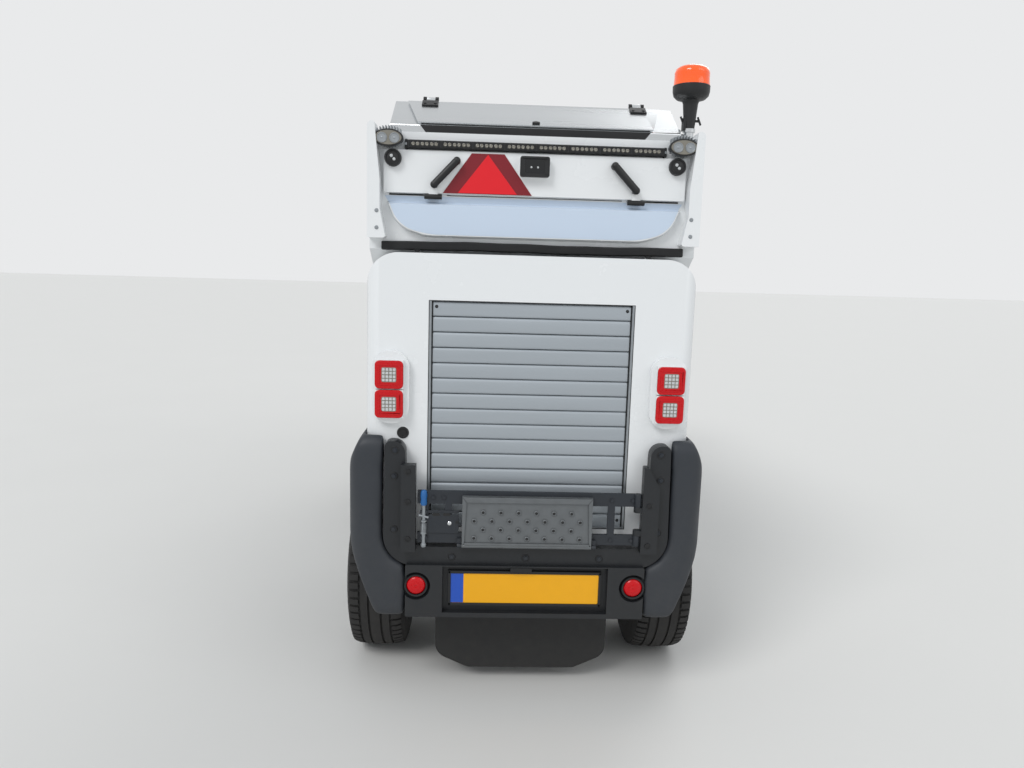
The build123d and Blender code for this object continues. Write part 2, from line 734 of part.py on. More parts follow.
with BuildPart() as mirrors:
    for side in (1, -1):
        box_between(
            (side * (MIRROR_X - 75), side * (MIRROR_X + 75)),
            (MIRROR_Y - 22, MIRROR_Y + 22),
            (MIRROR_LOW_Z, MIRROR_LOW_Z + MIRROR_HEIGHT),
        )
        rod_between(
            (side * MIRROR_X, MIRROR_Y, MIRROR_LOW_Z + 10), (side * MIRROR_X, MIRROR_Y, MIRROR_ARM_Z - 16), 14
        )
        rod_between(off_nose(side, SEAT_GAP), off_nose(side, 12), 28)
        rod_between(off_nose(side, 8), (side * MIRROR_X, MIRROR_Y, MIRROR_ARM_Z), 10)
save(mirrors, "mirrors")

# Inside the cab

SEAT_X = 290
SEAT_FRONT_Y = FRONT_AXLE_Y - 330
SEAT_BACK_Y = FRONT_AXLE_Y + 90
ARCH_TOP_Z = TYRE_RADIUS + ARCH_RADIUS + ARCH_WALL
with BuildPart() as seats:
    for side in (1, -1):
        box_between(
            (side * (SEAT_X - 200), side * (SEAT_X + 200)),
            (SEAT_FRONT_Y, SEAT_BACK_Y),
            (ARCH_TOP_Z + 40, ARCH_TOP_Z + 150),
        )
        box_between(
            (side * (SEAT_X - 130), side * (SEAT_X + 130)),
            (FRONT_AXLE_Y - 150, FRONT_AXLE_Y + 60),
            (ARCH_TOP_Z + SEAT_GAP, ARCH_TOP_Z + 45),
        )
        side_block(
            [
                (SEAT_BACK_Y - 60, ARCH_TOP_Z + 100),
                (SEAT_BACK_Y + 40, ARCH_TOP_Z + 100),
                (SEAT_BACK_Y + 130, ARCH_TOP_Z + 850),
                (SEAT_BACK_Y + 50, ARCH_TOP_Z + 850),
            ],
            side * SEAT_X - 190,
            side * SEAT_X + 190,
            corner=20,
        )
save(seats, "seats")

DASH_TOP_Z = 1040
WHEEL_HUB = (SEAT_X, FRONT_AXLE_Y - 560, 1120)
COLUMN_FOOT = (SEAT_X, FRONT_AXLE_Y - 740, 940)
with BuildPart() as dashboard:
    side_block(
        [
            (FRONT_AXLE_Y - 985, 700),
            (FRONT_AXLE_Y - 965, DASH_TOP_Z),
            (FRONT_AXLE_Y - 760, DASH_TOP_Z),
            (FRONT_AXLE_Y - 700, DASH_TOP_Z - 80),
            (FRONT_AXLE_Y - 800, 800),
            (FRONT_AXLE_Y - 860, 596),
            (FRONT_AXLE_Y - 900, 596),
        ],
        -500,
        500,
        corner=[10, 15, 30, 30, 30, 5, 5],
    )
    add(cab_volume(CAB_WALL + SEAT_GAP), mode=Mode.INTERSECT)
    rod_between(COLUMN_FOOT, WHEEL_HUB, 22)
save(dashboard, "dashboard")

column_axis = Vector(*WHEEL_HUB) - Vector(*COLUMN_FOOT)
with BuildPart() as steering_wheel:
    hub_start = Vector(*WHEEL_HUB) + column_axis.normalized() * SEAT_GAP
    hub_plane = Plane(origin=hub_start, x_dir=(1, 0, 0), z_dir=column_axis)
    rim_plane = hub_plane.offset(30)
    with BuildSketch(hub_plane) as hub_face:
        Circle(38)
    extrude(hub_face.sketch, amount=36)
    with BuildSketch(rim_plane.rotated((90, 0, 0))) as rim_face:
        with Locations((185, 0)):
            RegularPolygon(13, 8)
    revolve(rim_face.sketch, axis=Axis(rim_plane.origin, rim_plane.z_dir))
    with BuildSketch(rim_plane.offset(-8)) as spokes:
        with PolarLocations(105, 3, start_angle=90):
            Rectangle(160, 26)
    extrude(spokes.sketch, amount=14)
save(steering_wheel, "steering_wheel")

# Suction nozzle and duct, and the intake section behind the cab

DUCT_RADIUS = 85
DUCT_Z = RAIL_HIGH_Z - DUCT_RADIUS
NOZZLE_HALF_WIDTH = 420
NOZZLE_FRONT_Y = FRONT_AXLE_Y - 640
NOZZLE_BACK_Y = FRONT_AXLE_Y - 420
NOZZLE_LOW_Z = 30
NOZZLE_HIGH_Z = 170
NOZZLE_WALL = 12
INTAKE_FRONT_Y = FRONT_AXLE_Y + CAB_BACK + MOVING_GAP
INTAKE_BACK_Y = TIP_PIVOT_Y - TIP_REACH - 24
INTAKE_HALF_WIDTH = 545
INTAKE_LOW_Z = 700
INTAKE_TOP_Z = 1940
INLET_Z = 1400
INLET_HALF = 105
INLET_DEPTH = 170
with BuildPart() as suction_duct:
    box_between(
        (-NOZZLE_HALF_WIDTH, NOZZLE_HALF_WIDTH),
        (NOZZLE_FRONT_Y, NOZZLE_BACK_Y),
        (NOZZLE_LOW_Z, NOZZLE_HIGH_Z),
    )
    box_between(
        (-NOZZLE_HALF_WIDTH + NOZZLE_WALL, NOZZLE_HALF_WIDTH - NOZZLE_WALL),
        (NOZZLE_FRONT_Y + NOZZLE_WALL, NOZZLE_BACK_Y - NOZZLE_WALL),
        (NOZZLE_LOW_Z - 1, NOZZLE_HIGH_Z - NOZZLE_WALL),
        mode=Mode.SUBTRACT,
    )
    duct_path = [
        (0, FRONT_AXLE_Y - 530, NOZZLE_HIGH_Z - 5),
        (0, FRONT_AXLE_Y - 330, DUCT_Z),
        (0, INTAKE_FRONT_Y + 110, DUCT_Z),
        (0, INTAKE_FRONT_Y + 110, INTAKE_LOW_Z - SEAT_GAP),
    ]
    for start, end in zip(duct_path, duct_path[1:]):
        rod_between(start, end, DUCT_RADIUS)
    for bend in duct_path[1:3]:
        with Locations(bend):
            Sphere(DUCT_RADIUS)
    box_between(
        (-NOZZLE_HALF_WIDTH + NOZZLE_WALL, NOZZLE_HALF_WIDTH - NOZZLE_WALL),
        (NOZZLE_FRONT_Y + NOZZLE_WALL, NOZZLE_BACK_Y - NOZZLE_WALL),
        (NOZZLE_LOW_Z - 60, NOZZLE_HIGH_Z - NOZZLE_WALL),
        mode=Mode.SUBTRACT,
    )
    rod_between(
        (0, FRONT_AXLE_Y - 545, NOZZLE_HIGH_Z - 28),
        (0, FRONT_AXLE_Y - 500, NOZZLE_HIGH_Z + 43),
        DUCT_RADIUS - 10,
        mode=Mode.SUBTRACT,
    )
save(suction_duct, "suction_duct")

with BuildPart() as intake_section:
    box_between(
        (-INTAKE_HALF_WIDTH, INTAKE_HALF_WIDTH),
        (INTAKE_FRONT_Y, INTAKE_BACK_Y),
        (INTAKE_LOW_Z, INTAKE_TOP_Z),
    )
    for side in (1, -1):
        box_between(
            (side * (RAIL_INSIDE_X + 5), side * (RAIL_OUTSIDE_X - 5)),
            (INTAKE_FRONT_Y + 20, INTAKE_BACK_Y - 20),
            (RAIL_HIGH_Z + SEAT_GAP, INTAKE_LOW_Z),
        )
    box_between(
        (-INLET_HALF, INLET_HALF),
        (INTAKE_BACK_Y - INLET_DEPTH, INTAKE_BACK_Y + 1),
        (INLET_Z - INLET_HALF, INLET_Z + INLET_HALF),
        mode=Mode.SUBTRACT,
    )
save(intake_section, "intake_section")

# Side tanks and engine

TANK_HALF_WIDTH = 560
TANK_TOP_Z = 975
with BuildPart() as side_tanks:
    for side in (1, -1):
        front_block(
            [
                (side * (RAIL_OUTSIDE_X + SEAT_GAP), 440),
                (side * TANK_HALF_WIDTH, 440),
                (side * TANK_HALF_WIDTH, TANK_TOP_Z),
                (side * (RAIL_OUTSIDE_X + SEAT_GAP), TANK_TOP_Z),
            ],
            INTAKE_BACK_Y + 15,
            REAR_AXLE_Y - 435,
            corner=[10, 60, 50, 10],
        )
save(side_tanks, "side_tanks")

with BuildPart() as engine_block:
    box_between((-290, 290), (REAR_AXLE_Y - 350, REAR_AXLE_Y + 330), (RAIL_HIGH_Z + SEAT_GAP, 1050))
save(engine_block, "engine_block")

# Hopper with its rear opening, hinge ears and cylinder ears

FLOOR_SLOPE = (HOPPER_SILL_Z - HOPPER_LOW_Z) / (REAR_AXLE_Y + HOPPER_BACK - FLOOR_FRONT_Y)
HOPPER_SIDE_VIEW = [
    # y, z, corner radius
    (REAR_AXLE_Y + HOPPER_BACK, HOPPER_SILL_Z, 0),
    (FLOOR_FRONT_Y, HOPPER_LOW_Z, 60),
    (TIP_PIVOT_Y - TIP_REACH + 77, HOPPER_LOW_Z, 60),
    (TIP_PIVOT_Y - TIP_REACH, 1572, 80),
    (TIP_PIVOT_Y - TIP_REACH, HOPPER_TOP_Z + 60, 0),
    (REAR_AXLE_Y + HOPPER_BACK, HOPPER_TOP_Z + 60, 0),
]
CYLINDER_HEAD_Y = TIP_PIVOT_Y - 560
CYLINDER_HEAD_Z = TIP_PIVOT_Z - 430
HEAD_EAR_GAP = 28
HEAD_EAR_THICK = 16
REAR_OPENING_HALF = 490
DOOR_HINGE_REAR_Y = REAR_AXLE_Y + 393
DOOR_HINGE_REAR_Z = SEAM_Z
REAR_HINGE_X = 345


def floor_z(y):
    """Height of the underside of the hopper's sloping floor."""
    return HOPPER_SILL_Z + (y - REAR_AXLE_Y - HOPPER_BACK) * FLOOR_SLOPE


def hopper_volume(inset):
    """The hopper's closed form, moved inward by inset."""
    points, radii = split_rows(HOPPER_SIDE_VIEW)
    points, radii = inset_outline(points, radii, inset)
    half = [(HOPPER_HALF_WIDTH, HOPPER_LOW_Z - 60), (HOPPER_HALF_WIDTH, HOPPER_TOP_Z)]
    front_points, front_radii = inset_outline(half + mirrored(half), [0, 40, 40, 0], inset)
    with BuildPart() as volume:
        with BuildSketch(Plane.YZ.offset(-600)) as side_face:
            with BuildLine():
                FilletPolyline(*points, radius=radii, close=True)
            make_face()
        push(side_face.sketch, 1200, (1, 0, 0), Mode.ADD)
        with BuildSketch(Plane.XZ.offset(-(REAR_AXLE_Y - 1700))) as front_face:
            with BuildLine():
                FilletPolyline(*front_points, radius=front_radii, close=True)
            make_face()
        push(front_face.sketch, 2400, (0, 1, 0), Mode.INTERSECT)
    return volume.part


with BuildPart() as hopper:
    add(hopper_volume(0))
    add(hopper_volume(HOPPER_WALL), mode=Mode.SUBTRACT)
    for side in (1, -1):
        front_block(
            [
                (side * HOPPER_HALF_WIDTH, HOPPER_SILL_Z + 35),
                (side * HOPPER_HALF_WIDTH, 2012),
                (side * (HOPPER_HALF_WIDTH - 24), 2012),
                (side * (HOPPER_HALF_WIDTH - 42), SEAM_Z + 50),
                (side * (HOPPER_HALF_WIDTH - 42), SEAM_Z - 45),
                (side * (HOPPER_HALF_WIDTH - 62), HOPPER_SILL_Z + 35),
            ],
            REAR_AXLE_Y + HOPPER_BACK - 20,
            REAR_AXLE_Y + FIN_BACK,
            corner=[0, 16, 6, 0, 0, 8],
        )
        side_block(
            [
                (TIP_PIVOT_Y - 70, floor_z(TIP_PIVOT_Y - 70) + 10),
                (REAR_AXLE_Y + HOPPER_BACK - 2, HOPPER_SILL_Z + 8),
                (REAR_AXLE_Y + HOPPER_BACK + 10, HOPPER_SILL_Z - 2),
                (TIP_PIVOT_Y + 8, TIP_PIVOT_Z + 12),
                (TIP_PIVOT_Y + 14, TIP_PIVOT_Z - 2),
                (TIP_PIVOT_Y + 2, TIP_PIVOT_Z - 14),
                (TIP_PIVOT_Y - 12, TIP_PIVOT_Z - 10),
            ],
            side * (TIP_LUG_X - 1) - (TIP_LUG_THICK if side > 0 else 0),
            side * (TIP_LUG_X - 1) + (0 if side > 0 else TIP_LUG_THICK),
            corner=[0, 0, 4, 5, 5, 5, 5],
        )
        rod_between(
            (side * (TIP_LUG_X - 40), TIP_PIVOT_Y, TIP_PIVOT_Z),
            (side * TIP_LUG_X, TIP_PIVOT_Y, TIP_PIVOT_Z),
            TIP_PIN_RADIUS + PIN_GAP,
            mode=Mode.SUBTRACT,
        )
        for inner_x in (TIP_CYLINDER_X - HEAD_EAR_GAP - HEAD_EAR_THICK, TIP_CYLINDER_X + HEAD_EAR_GAP):
            low_x = inner_x if side > 0 else -inner_x - HEAD_EAR_THICK
            side_block(
                [
                    (CYLINDER_HEAD_Y - 60, floor_z(CYLINDER_HEAD_Y - 60) + 10),
                    (CYLINDER_HEAD_Y + 60, floor_z(CYLINDER_HEAD_Y + 60) + 10),
                    (CYLINDER_HEAD_Y + 30, CYLINDER_HEAD_Z - 30),
                    (CYLINDER_HEAD_Y - 30, CYLINDER_HEAD_Z - 30),
                ],
                low_x,
                low_x + HEAD_EAR_THICK,
                corner=[0, 0, 25, 25],
            )
        for hinge_x in (REAR_HINGE_X - 29, REAR_HINGE_X + 15.3):
            low_x = hinge_x if side > 0 else -hinge_x - 13.7
            box_between(
                (low_x, low_x + 13.7),
                (REAR_AXLE_Y + HOPPER_BACK - 10, DOOR_HINGE_REAR_Y),
                (DOOR_HINGE_REAR_Z - 8, DOOR_HINGE_REAR_Z + 7),
            )
            rod_between(
                (low_x, DOOR_HINGE_REAR_Y, DOOR_HINGE_REAR_Z),
                (low_x + 13.7, DOOR_HINGE_REAR_Y, DOOR_HINGE_REAR_Z),
                8,
            )
        rod_between(
            (side * (REAR_HINGE_X - 29), DOOR_HINGE_REAR_Y, DOOR_HINGE_REAR_Z),
            (side * (REAR_HINGE_X + 29), DOOR_HINGE_REAR_Y, DOOR_HINGE_REAR_Z),
            4,
        )
    front_block(
        [
            (-REAR_OPENING_HALF, SEAM_Z + 20),
            (REAR_OPENING_HALF, SEAM_Z + 20),
            (REAR_OPENING_HALF, DOOR_TOP_Z - 14),
            (-REAR_OPENING_HALF, DOOR_TOP_Z - 14),
        ],
        REAR_AXLE_Y + HOPPER_BACK - HOPPER_WALL - 5,
        REAR_AXLE_Y + HOPPER_BACK + 1,
        corner=20,
        mode=Mode.SUBTRACT,
    )
    box_between(
        (-INLET_HALF, INLET_HALF),
        (TIP_PIVOT_Y - TIP_REACH - 5, TIP_PIVOT_Y - TIP_REACH + 80),
        (INLET_Z - INLET_HALF, INLET_Z + INLET_HALF),
        mode=Mode.SUBTRACT,
    )
    with BuildSketch(Plane.XZ.offset(-(REAR_AXLE_Y + HOPPER_BACK - 5))) as smile:
        with BuildLine():
            FilletPolyline(
                (-506, SEAM_Z - 18), (-470, 1672), (-370, 1640), (370, 1640), (470, 1672), (506, SEAM_Z - 18),
                radius=[0, 110, 160, 160, 110, 0],
                close=True,
            )
        make_face()
    extrude(smile.sketch, amount=30, dir=(0, 1, 0), taper=15)
save(hopper, "hopper")

with BuildPart() as rear_door:
    front_block(
        [(-512, SEAM_Z + 11), (512, SEAM_Z + 11), (512, DOOR_TOP_Z), (-512, DOOR_TOP_Z)],
        REAR_AXLE_Y + HOPPER_BACK + SEAT_GAP,
        REAR_AXLE_Y + DOOR_BACK,
        corner=6,
    )
    for side in (1, -1):
        box_between(
            (side * (REAR_HINGE_X - 15), side * (REAR_HINGE_X + 15)),
            (DOOR_HINGE_REAR_Y - 7, DOOR_HINGE_REAR_Y + 3),
            (DOOR_HINGE_REAR_Z, SEAM_Z + 30),
        )
        rod_between(
            (side * (REAR_HINGE_X - 15), DOOR_HINGE_REAR_Y, DOOR_HINGE_REAR_Z),
            (side * (REAR_HINGE_X + 15), DOOR_HINGE_REAR_Y, DOOR_HINGE_REAR_Z),
            8,
        )
        rod_between(
            (side * (REAR_HINGE_X - 16), DOOR_HINGE_REAR_Y, DOOR_HINGE_REAR_Z),
            (side * (REAR_HINGE_X + 16), DOOR_HINGE_REAR_Y, DOOR_HINGE_REAR_Z),
            4 + PIN_GAP,
            mode=Mode.SUBTRACT,
        )
        rod_between(
            (side * 266, REAR_AXLE_Y + DOOR_BACK + 22, 1895),
            (side * 341, REAR_AXLE_Y + DOOR_BACK + 22, 1816),
            11,
        )
        for grip_x, grip_z in ((272, 1889), (335, 1822)):
            rod_between(
                (side * grip_x, REAR_AXLE_Y + DOOR_BACK - 2, grip_z),
                (side * grip_x, REAR_AXLE_Y + DOOR_BACK + 24, grip_z),
                9,
            )
        rod_between(
            (side * 480, REAR_AXLE_Y + DOOR_BACK - 2, 1900),
            (side * 480, REAR_AXLE_Y + DOOR_BACK + 14, 1900),
            26,
        )
    front_block(
        [(-45, 1850), (54, 1850), (54, 1917), (-45, 1917)],
        REAR_AXLE_Y + DOOR_BACK - 2,
        REAR_AXLE_Y + DOOR_BACK + 26,
        corner=8,
    )
save(rear_door, "rear_door")

# Air outlet cowl on the hopper and its flap

COWL_HALF_WIDTH = 498
COWL_REAR_Y = REAR_AXLE_Y + 335
COWL_CREST_Y = REAR_AXLE_Y + 160
COWL_CREST_Z = 2130
COWL_LIP_Z = 2020
COWL_FRONT_Y = REAR_AXLE_Y - 500
COWL_OUTLINE = [
    (COWL_REAR_Y, HOPPER_TOP_Z + SEAT_GAP),
    (COWL_REAR_Y, COWL_LIP_Z),
    (COWL_CREST_Y, COWL_CREST_Z),
    (COWL_FRONT_Y + 120, COWL_CREST_Z),
    (COWL_FRONT_Y, HOPPER_TOP_Z + SEAT_GAP),
]
FLAP_HINGE_Y = COWL_CREST_Y - 2
FLAP_HINGE_Z = COWL_CREST_Z + 9
FLAP_HINGE_X = 372
FLAP_RISE = Vector(0, COWL_CREST_Z - COWL_LIP_Z, COWL_REAR_Y - COWL_CREST_Y).normalized()


def above_slope(y, z, height):
    """A point lifted off the cowl's sloping rear face."""
    return (y + FLAP_RISE.Y * height, z + FLAP_RISE.Z * height)


with BuildPart() as air_cowl:
    side_block(COWL_OUTLINE, -COWL_HALF_WIDTH, COWL_HALF_WIDTH, corner=[0, 8, 15, 15, 0])
    with BuildPart(mode=Mode.SUBTRACT):
        side_block(
            [
                (COWL_REAR_Y - 25, COWL_LIP_Z - 10),
                above_slope(COWL_REAR_Y - 25, COWL_LIP_Z + 15, 20),
                above_slope(COWL_CREST_Y + 30, COWL_CREST_Z - 18, 20),
                (COWL_CREST_Y - 60, COWL_CREST_Z - 40),
                (COWL_CREST_Y - 60, COWL_LIP_Z - 10),
            ],
            -360,
            360,
        )
    for side in (1, -1):
        for low in (FLAP_HINGE_X - 28, FLAP_HINGE_X + 15.3):
            low_x = low if side > 0 else -low - 12.7
            rod_between(
                (low_x, FLAP_HINGE_Y, FLAP_HINGE_Z), (low_x + 12.7, FLAP_HINGE_Y, FLAP_HINGE_Z), 8
            )
            box_between(
                (low_x, low_x + 12.7), (FLAP_HINGE_Y - 8, FLAP_HINGE_Y), (COWL_CREST_Z - 5, FLAP_HINGE_Z)
            )
        rod_between(
            (side * (FLAP_HINGE_X - 28), FLAP_HINGE_Y, FLAP_HINGE_Z),
            (side * (FLAP_HINGE_X + 28), FLAP_HINGE_Y, FLAP_HINGE_Z),
            4,
        )
save(air_cowl, "air_cowl")

with BuildPart() as cowl_flap:
    with BuildPart():
        side_block(
            [
                above_slope(COWL_REAR_Y - 4, COWL_LIP_Z + 2.5, 1),
                above_slope(COWL_CREST_Y + 14, COWL_CREST_Z - 8.8, 1),
                above_slope(COWL_CREST_Y + 14, COWL_CREST_Z - 8.8, 9),
                above_slope(COWL_REAR_Y - 4, COWL_LIP_Z + 2.5, 9),
            ],
            -470,
            470,
        )
    front_block(
        [(391, 2000), (468, 2160), (-468, 2160), (-391, 2000)],
        COWL_CREST_Y - 50,
        COWL_REAR_Y + 60,
        corner=[0, 0, 0, 0],
        mode=Mode.INTERSECT,
    )
    for side in (1, -1):
        side_block(
            [
                (FLAP_HINGE_Y, FLAP_HINGE_Z),
                (FLAP_HINGE_Y, FLAP_HINGE_Z + 8),
                above_slope(COWL_CREST_Y + 30, COWL_CREST_Z - 18.8, 9),
                above_slope(COWL_CREST_Y + 30, COWL_CREST_Z - 18.8, 2),
            ],
            side * FLAP_HINGE_X - 15,
            side * FLAP_HINGE_X + 15,
        )
        rod_between(
            (side * FLAP_HINGE_X - 15, FLAP_HINGE_Y, FLAP_HINGE_Z),
            (side * FLAP_HINGE_X + 15, FLAP_HINGE_Y, FLAP_HINGE_Z),
            8,
        )
        rod_between(
            (side * FLAP_HINGE_X - 16, FLAP_HINGE_Y, FLAP_HINGE_Z),
            (side * FLAP_HINGE_X + 16, FLAP_HINGE_Y, FLAP_HINGE_Z),
            4 + PIN_GAP,
            mode=Mode.SUBTRACT,
        )
save(cowl_flap, "cowl_flap")

BEACON_X = -536
BEACON_Y = REAR_AXLE_Y + 300
with BuildPart() as hopper_lamps:
    rod_between((-COWL_HALF_WIDTH - SEAT_GAP, BEACON_Y, 2010), (BEACON_X, BEACON_Y, 2010), 13)
    rod_between((BEACON_X, BEACON_Y, 2000), (BEACON_X, BEACON_Y, 2130), 15)
    rod_between((BEACON_X, BEACON_Y, 2126), (BEACON_X, BEACON_Y, 2185), 64)
    rod_between((BEACON_X, BEACON_Y, 2185), (BEACON_X, BEACON_Y, 2250), 58)
    for side in (1, -1):
        rod_between(
            (side * 493, REAR_AXLE_Y + HOPPER_BACK + SEAT_GAP, 1961),
            (side * 493, REAR_AXLE_Y + HOPPER_BACK + 55, 1961),
            26,
        )
    box_between(
        (-434, 434), (REAR_AXLE_Y + HOPPER_BACK + SEAT_GAP, REAR_AXLE_Y + HOPPER_BACK + 30), (1934, 1960)
    )
save(hopper_lamps, "hopper_lamps")

# Tipping cylinders: both barrels swing on one axis, both rods slide together

BARREL_RADIUS = 34
BARREL_BORE = 23
ROD_RADIUS = 22
EYE_RADIUS = 24
cylinder_foot = Vector(0, CYLINDER_FOOT_Y, CYLINDER_FOOT_Z)
cylinder_head = Vector(0, CYLINDER_HEAD_Y, CYLINDER_HEAD_Z)
cylinder_run = cylinder_head - cylinder_foot
cylinder_line = cylinder_run.normalized()
BARREL_LENGTH = cylinder_run.length - 36


def along_cylinder(side, distance):
    """A point on a cylinder's axis, measured from the foot pin."""
    point = cylinder_foot + cylinder_line * distance
    return (side * TIP_CYLINDER_X, point.Y, point.Z)


with BuildPart() as tip_barrels:
    for side in (1, -1):
        rod_between(along_cylinder(side, 20), along_cylinder(side, BARREL_LENGTH), BARREL_RADIUS)
        rod_between(
            (side * (TIP_CYLINDER_X - 14), CYLINDER_FOOT_Y, CYLINDER_FOOT_Z),
            (side * (TIP_CYLINDER_X + 14), CYLINDER_FOOT_Y, CYLINDER_FOOT_Z),
            EYE_RADIUS,
        )
        rod_between(
            (side * (TIP_CYLINDER_X - 15), CYLINDER_FOOT_Y, CYLINDER_FOOT_Z),
            (side * (TIP_CYLINDER_X + 15), CYLINDER_FOOT_Y, CYLINDER_FOOT_Z),
            CYLINDER_PIN_RADIUS + PIN_GAP,
            mode=Mode.SUBTRACT,
        )
        rod_between(
            along_cylinder(side, 34), along_cylinder(side, BARREL_LENGTH + 5), BARREL_BORE, mode=Mode.SUBTRACT
        )
save(tip_barrels, "tip_barrels")

with BuildPart() as tip_rods:
    for side in (1, -1):
        rod_between(along_cylinder(side, 40), along_cylinder(side, cylinder_run.length), ROD_RADIUS)
        rod_between(
            (side * (TIP_CYLINDER_X - 14), CYLINDER_HEAD_Y, CYLINDER_HEAD_Z),
            (side * (TIP_CYLINDER_X + 14), CYLINDER_HEAD_Y, CYLINDER_HEAD_Z),
            EYE_RADIUS,
        )
        rod_between(
            (side * (TIP_CYLINDER_X - 15), CYLINDER_HEAD_Y, CYLINDER_HEAD_Z),
            (side * (TIP_CYLINDER_X + 15), CYLINDER_HEAD_Y, CYLINDER_HEAD_Z),
            12,
            mode=Mode.SUBTRACT,
        )
save(tip_rods, "tip_rods")

# Rear hood over the engine, with the slatted shutter

HOOD_FRONT_Y = REAR_AXLE_Y - 410
HOOD_LOW_Z = 560
HOOD_SHOULDER_RADIUS = 110
HOOD_CORNER_RADIUS = 45
TIP_LUG_CLEAR = 6
FLOOR_CLEAR = 14
REAR_ARCH_RADIUS = 392
HOOD_INSIDE_Y = REAR_AXLE_Y + HOOD_BACK - HOOD_WALL


def hood_volume(inset):
    """The hood's closed form, open below, moved inward by inset."""
    half = [(HOOD_HALF_WIDTH - inset, HOOD_LOW_Z - inset), (HOOD_HALF_WIDTH - inset, HOOD_TOP_Z - inset)]
    plan_half_width = HOOD_HALF_WIDTH + 2 - inset
    plan = [(plan_half_width, HOOD_FRONT_Y - inset), (plan_half_width, REAR_AXLE_Y + HOOD_BACK - inset)]
    shoulder = HOOD_SHOULDER_RADIUS - inset
    corner = HOOD_CORNER_RADIUS - inset
    with BuildPart() as volume:
        front_block(
            half + mirrored(half),
            HOOD_FRONT_Y - 40,
            REAR_AXLE_Y + HOOD_BACK + 40,
            corner=[0, shoulder, shoulder, 0],
        )
        plan_block(
            plan + mirrored(plan),
            HOOD_LOW_Z - 60,
            HOOD_TOP_Z + 60,
            corner=[0, corner, corner, 0],
            mode=Mode.INTERSECT,
        )
    return volume.part


with BuildPart() as rear_hood:
    add(hood_volume(0))
    add(hood_volume(HOOD_WALL), mode=Mode.SUBTRACT)
    box_between(
        (-TIP_LUG_X - TIP_POST_WIDTH - TIP_LUG_CLEAR, TIP_LUG_X + TIP_POST_WIDTH + TIP_LUG_CLEAR),
        (HOOD_FRONT_Y - 5, HOOD_INSIDE_Y),
        (HOOD_TOP_Z - 148, HOOD_TOP_Z + 52),
        mode=Mode.SUBTRACT,
    )
    side_block(
        [
            (REAR_AXLE_Y + HOPPER_BACK + 30, HOPPER_SILL_Z - FLOOR_CLEAR),
            (REAR_AXLE_Y + HOPPER_BACK, HOPPER_SILL_Z - FLOOR_CLEAR),
            (FLOOR_FRONT_Y, HOPPER_LOW_Z - FLOOR_CLEAR),
            (FLOOR_FRONT_Y, HOPPER_SILL_Z + 50),
            (REAR_AXLE_Y + HOPPER_BACK + 30, HOPPER_SILL_Z + 50),
        ],
        -620,
        620,
        mode=Mode.SUBTRACT,
    )
    for side in (1, -1):
        rod_between(
            (side * 400, REAR_AXLE_Y, TYRE_RADIUS),
            (side * 620, REAR_AXLE_Y, TYRE_RADIUS),
            REAR_ARCH_RADIUS,
            mode=Mode.SUBTRACT,
        )
        box_between(
            (side * (TIP_LUG_X - 40), side * (TIP_LUG_X - TIP_LUG_CLEAR)),
            (REAR_AXLE_Y + 360, HOOD_INSIDE_Y + 2),
            (RAIL_HIGH_Z - 10 + SEAT_GAP, HOOD_LOW_Z + 60),
        )
    box_between(
        (-SHUTTER_HALF_WIDTH, SHUTTER_HALF_WIDTH),
        (HOOD_INSIDE_Y - 5, REAR_AXLE_Y + HOOD_BACK + 5),
        (SHUTTER_LOW_Z, SHUTTER_HIGH_Z),
        mode=Mode.SUBTRACT,
    )
save(rear_hood, "rear_hood")

# Roll-formed shutter behind the opening, with its two guide rails and bottom bar

SHUTTER_LAP = 12
SHUTTER_PANEL = 5
GUIDE_WIDTH = 9
SLAT_GROOVE = 4
SLAT_BACK_Y = HOOD_INSIDE_Y - SEAT_GAP - SHUTTER_PANEL
SLAT_FACE_Y = REAR_AXLE_Y + HOOD_BACK - 7
slat_pitch = (SHUTTER_HIGH_Z - SHUTTER_LOW_Z) / SLAT_COUNT
with BuildPart() as rear_shutter:
    box_between(
        (-SHUTTER_HALF_WIDTH - SHUTTER_LAP, SHUTTER_HALF_WIDTH + SHUTTER_LAP),
        (SLAT_BACK_Y, SLAT_BACK_Y + SHUTTER_PANEL),
        (SHUTTER_LOW_Z - SHUTTER_LAP, SHUTTER_HIGH_Z + SHUTTER_LAP),
    )
    for slat in range(SLAT_COUNT):
        slat_low = SHUTTER_LOW_Z + slat * slat_pitch
        side_block(
            [
                (SLAT_BACK_Y + 2, slat_low + SLAT_GROOVE / 2),
                (SLAT_FACE_Y - 2, slat_low + SLAT_GROOVE / 2),
                (SLAT_FACE_Y, slat_low + SLAT_GROOVE / 2 + 3),
                (SLAT_FACE_Y, slat_low + slat_pitch - SLAT_GROOVE / 2 - 5),
                (SLAT_FACE_Y - 3, slat_low + slat_pitch - SLAT_GROOVE / 2),
                (SLAT_BACK_Y + 2, slat_low + slat_pitch - SLAT_GROOVE / 2),
            ],
            -SHUTTER_HALF_WIDTH + GUIDE_WIDTH + 2,
            SHUTTER_HALF_WIDTH - GUIDE_WIDTH - 2,
        )
    for side in (1, -1):
        box_between(
            (side * (SHUTTER_HALF_WIDTH - SEAT_GAP - GUIDE_WIDTH), side * (SHUTTER_HALF_WIDTH - SEAT_GAP)),
            (SLAT_BACK_Y + 2, REAR_AXLE_Y + HOOD_BACK + 1),
            (SHUTTER_LOW_Z + SEAT_GAP, SHUTTER_HIGH_Z - SEAT_GAP),
        )
save(rear_shutter, "rear_shutter")

# Rear fenders over the wheels

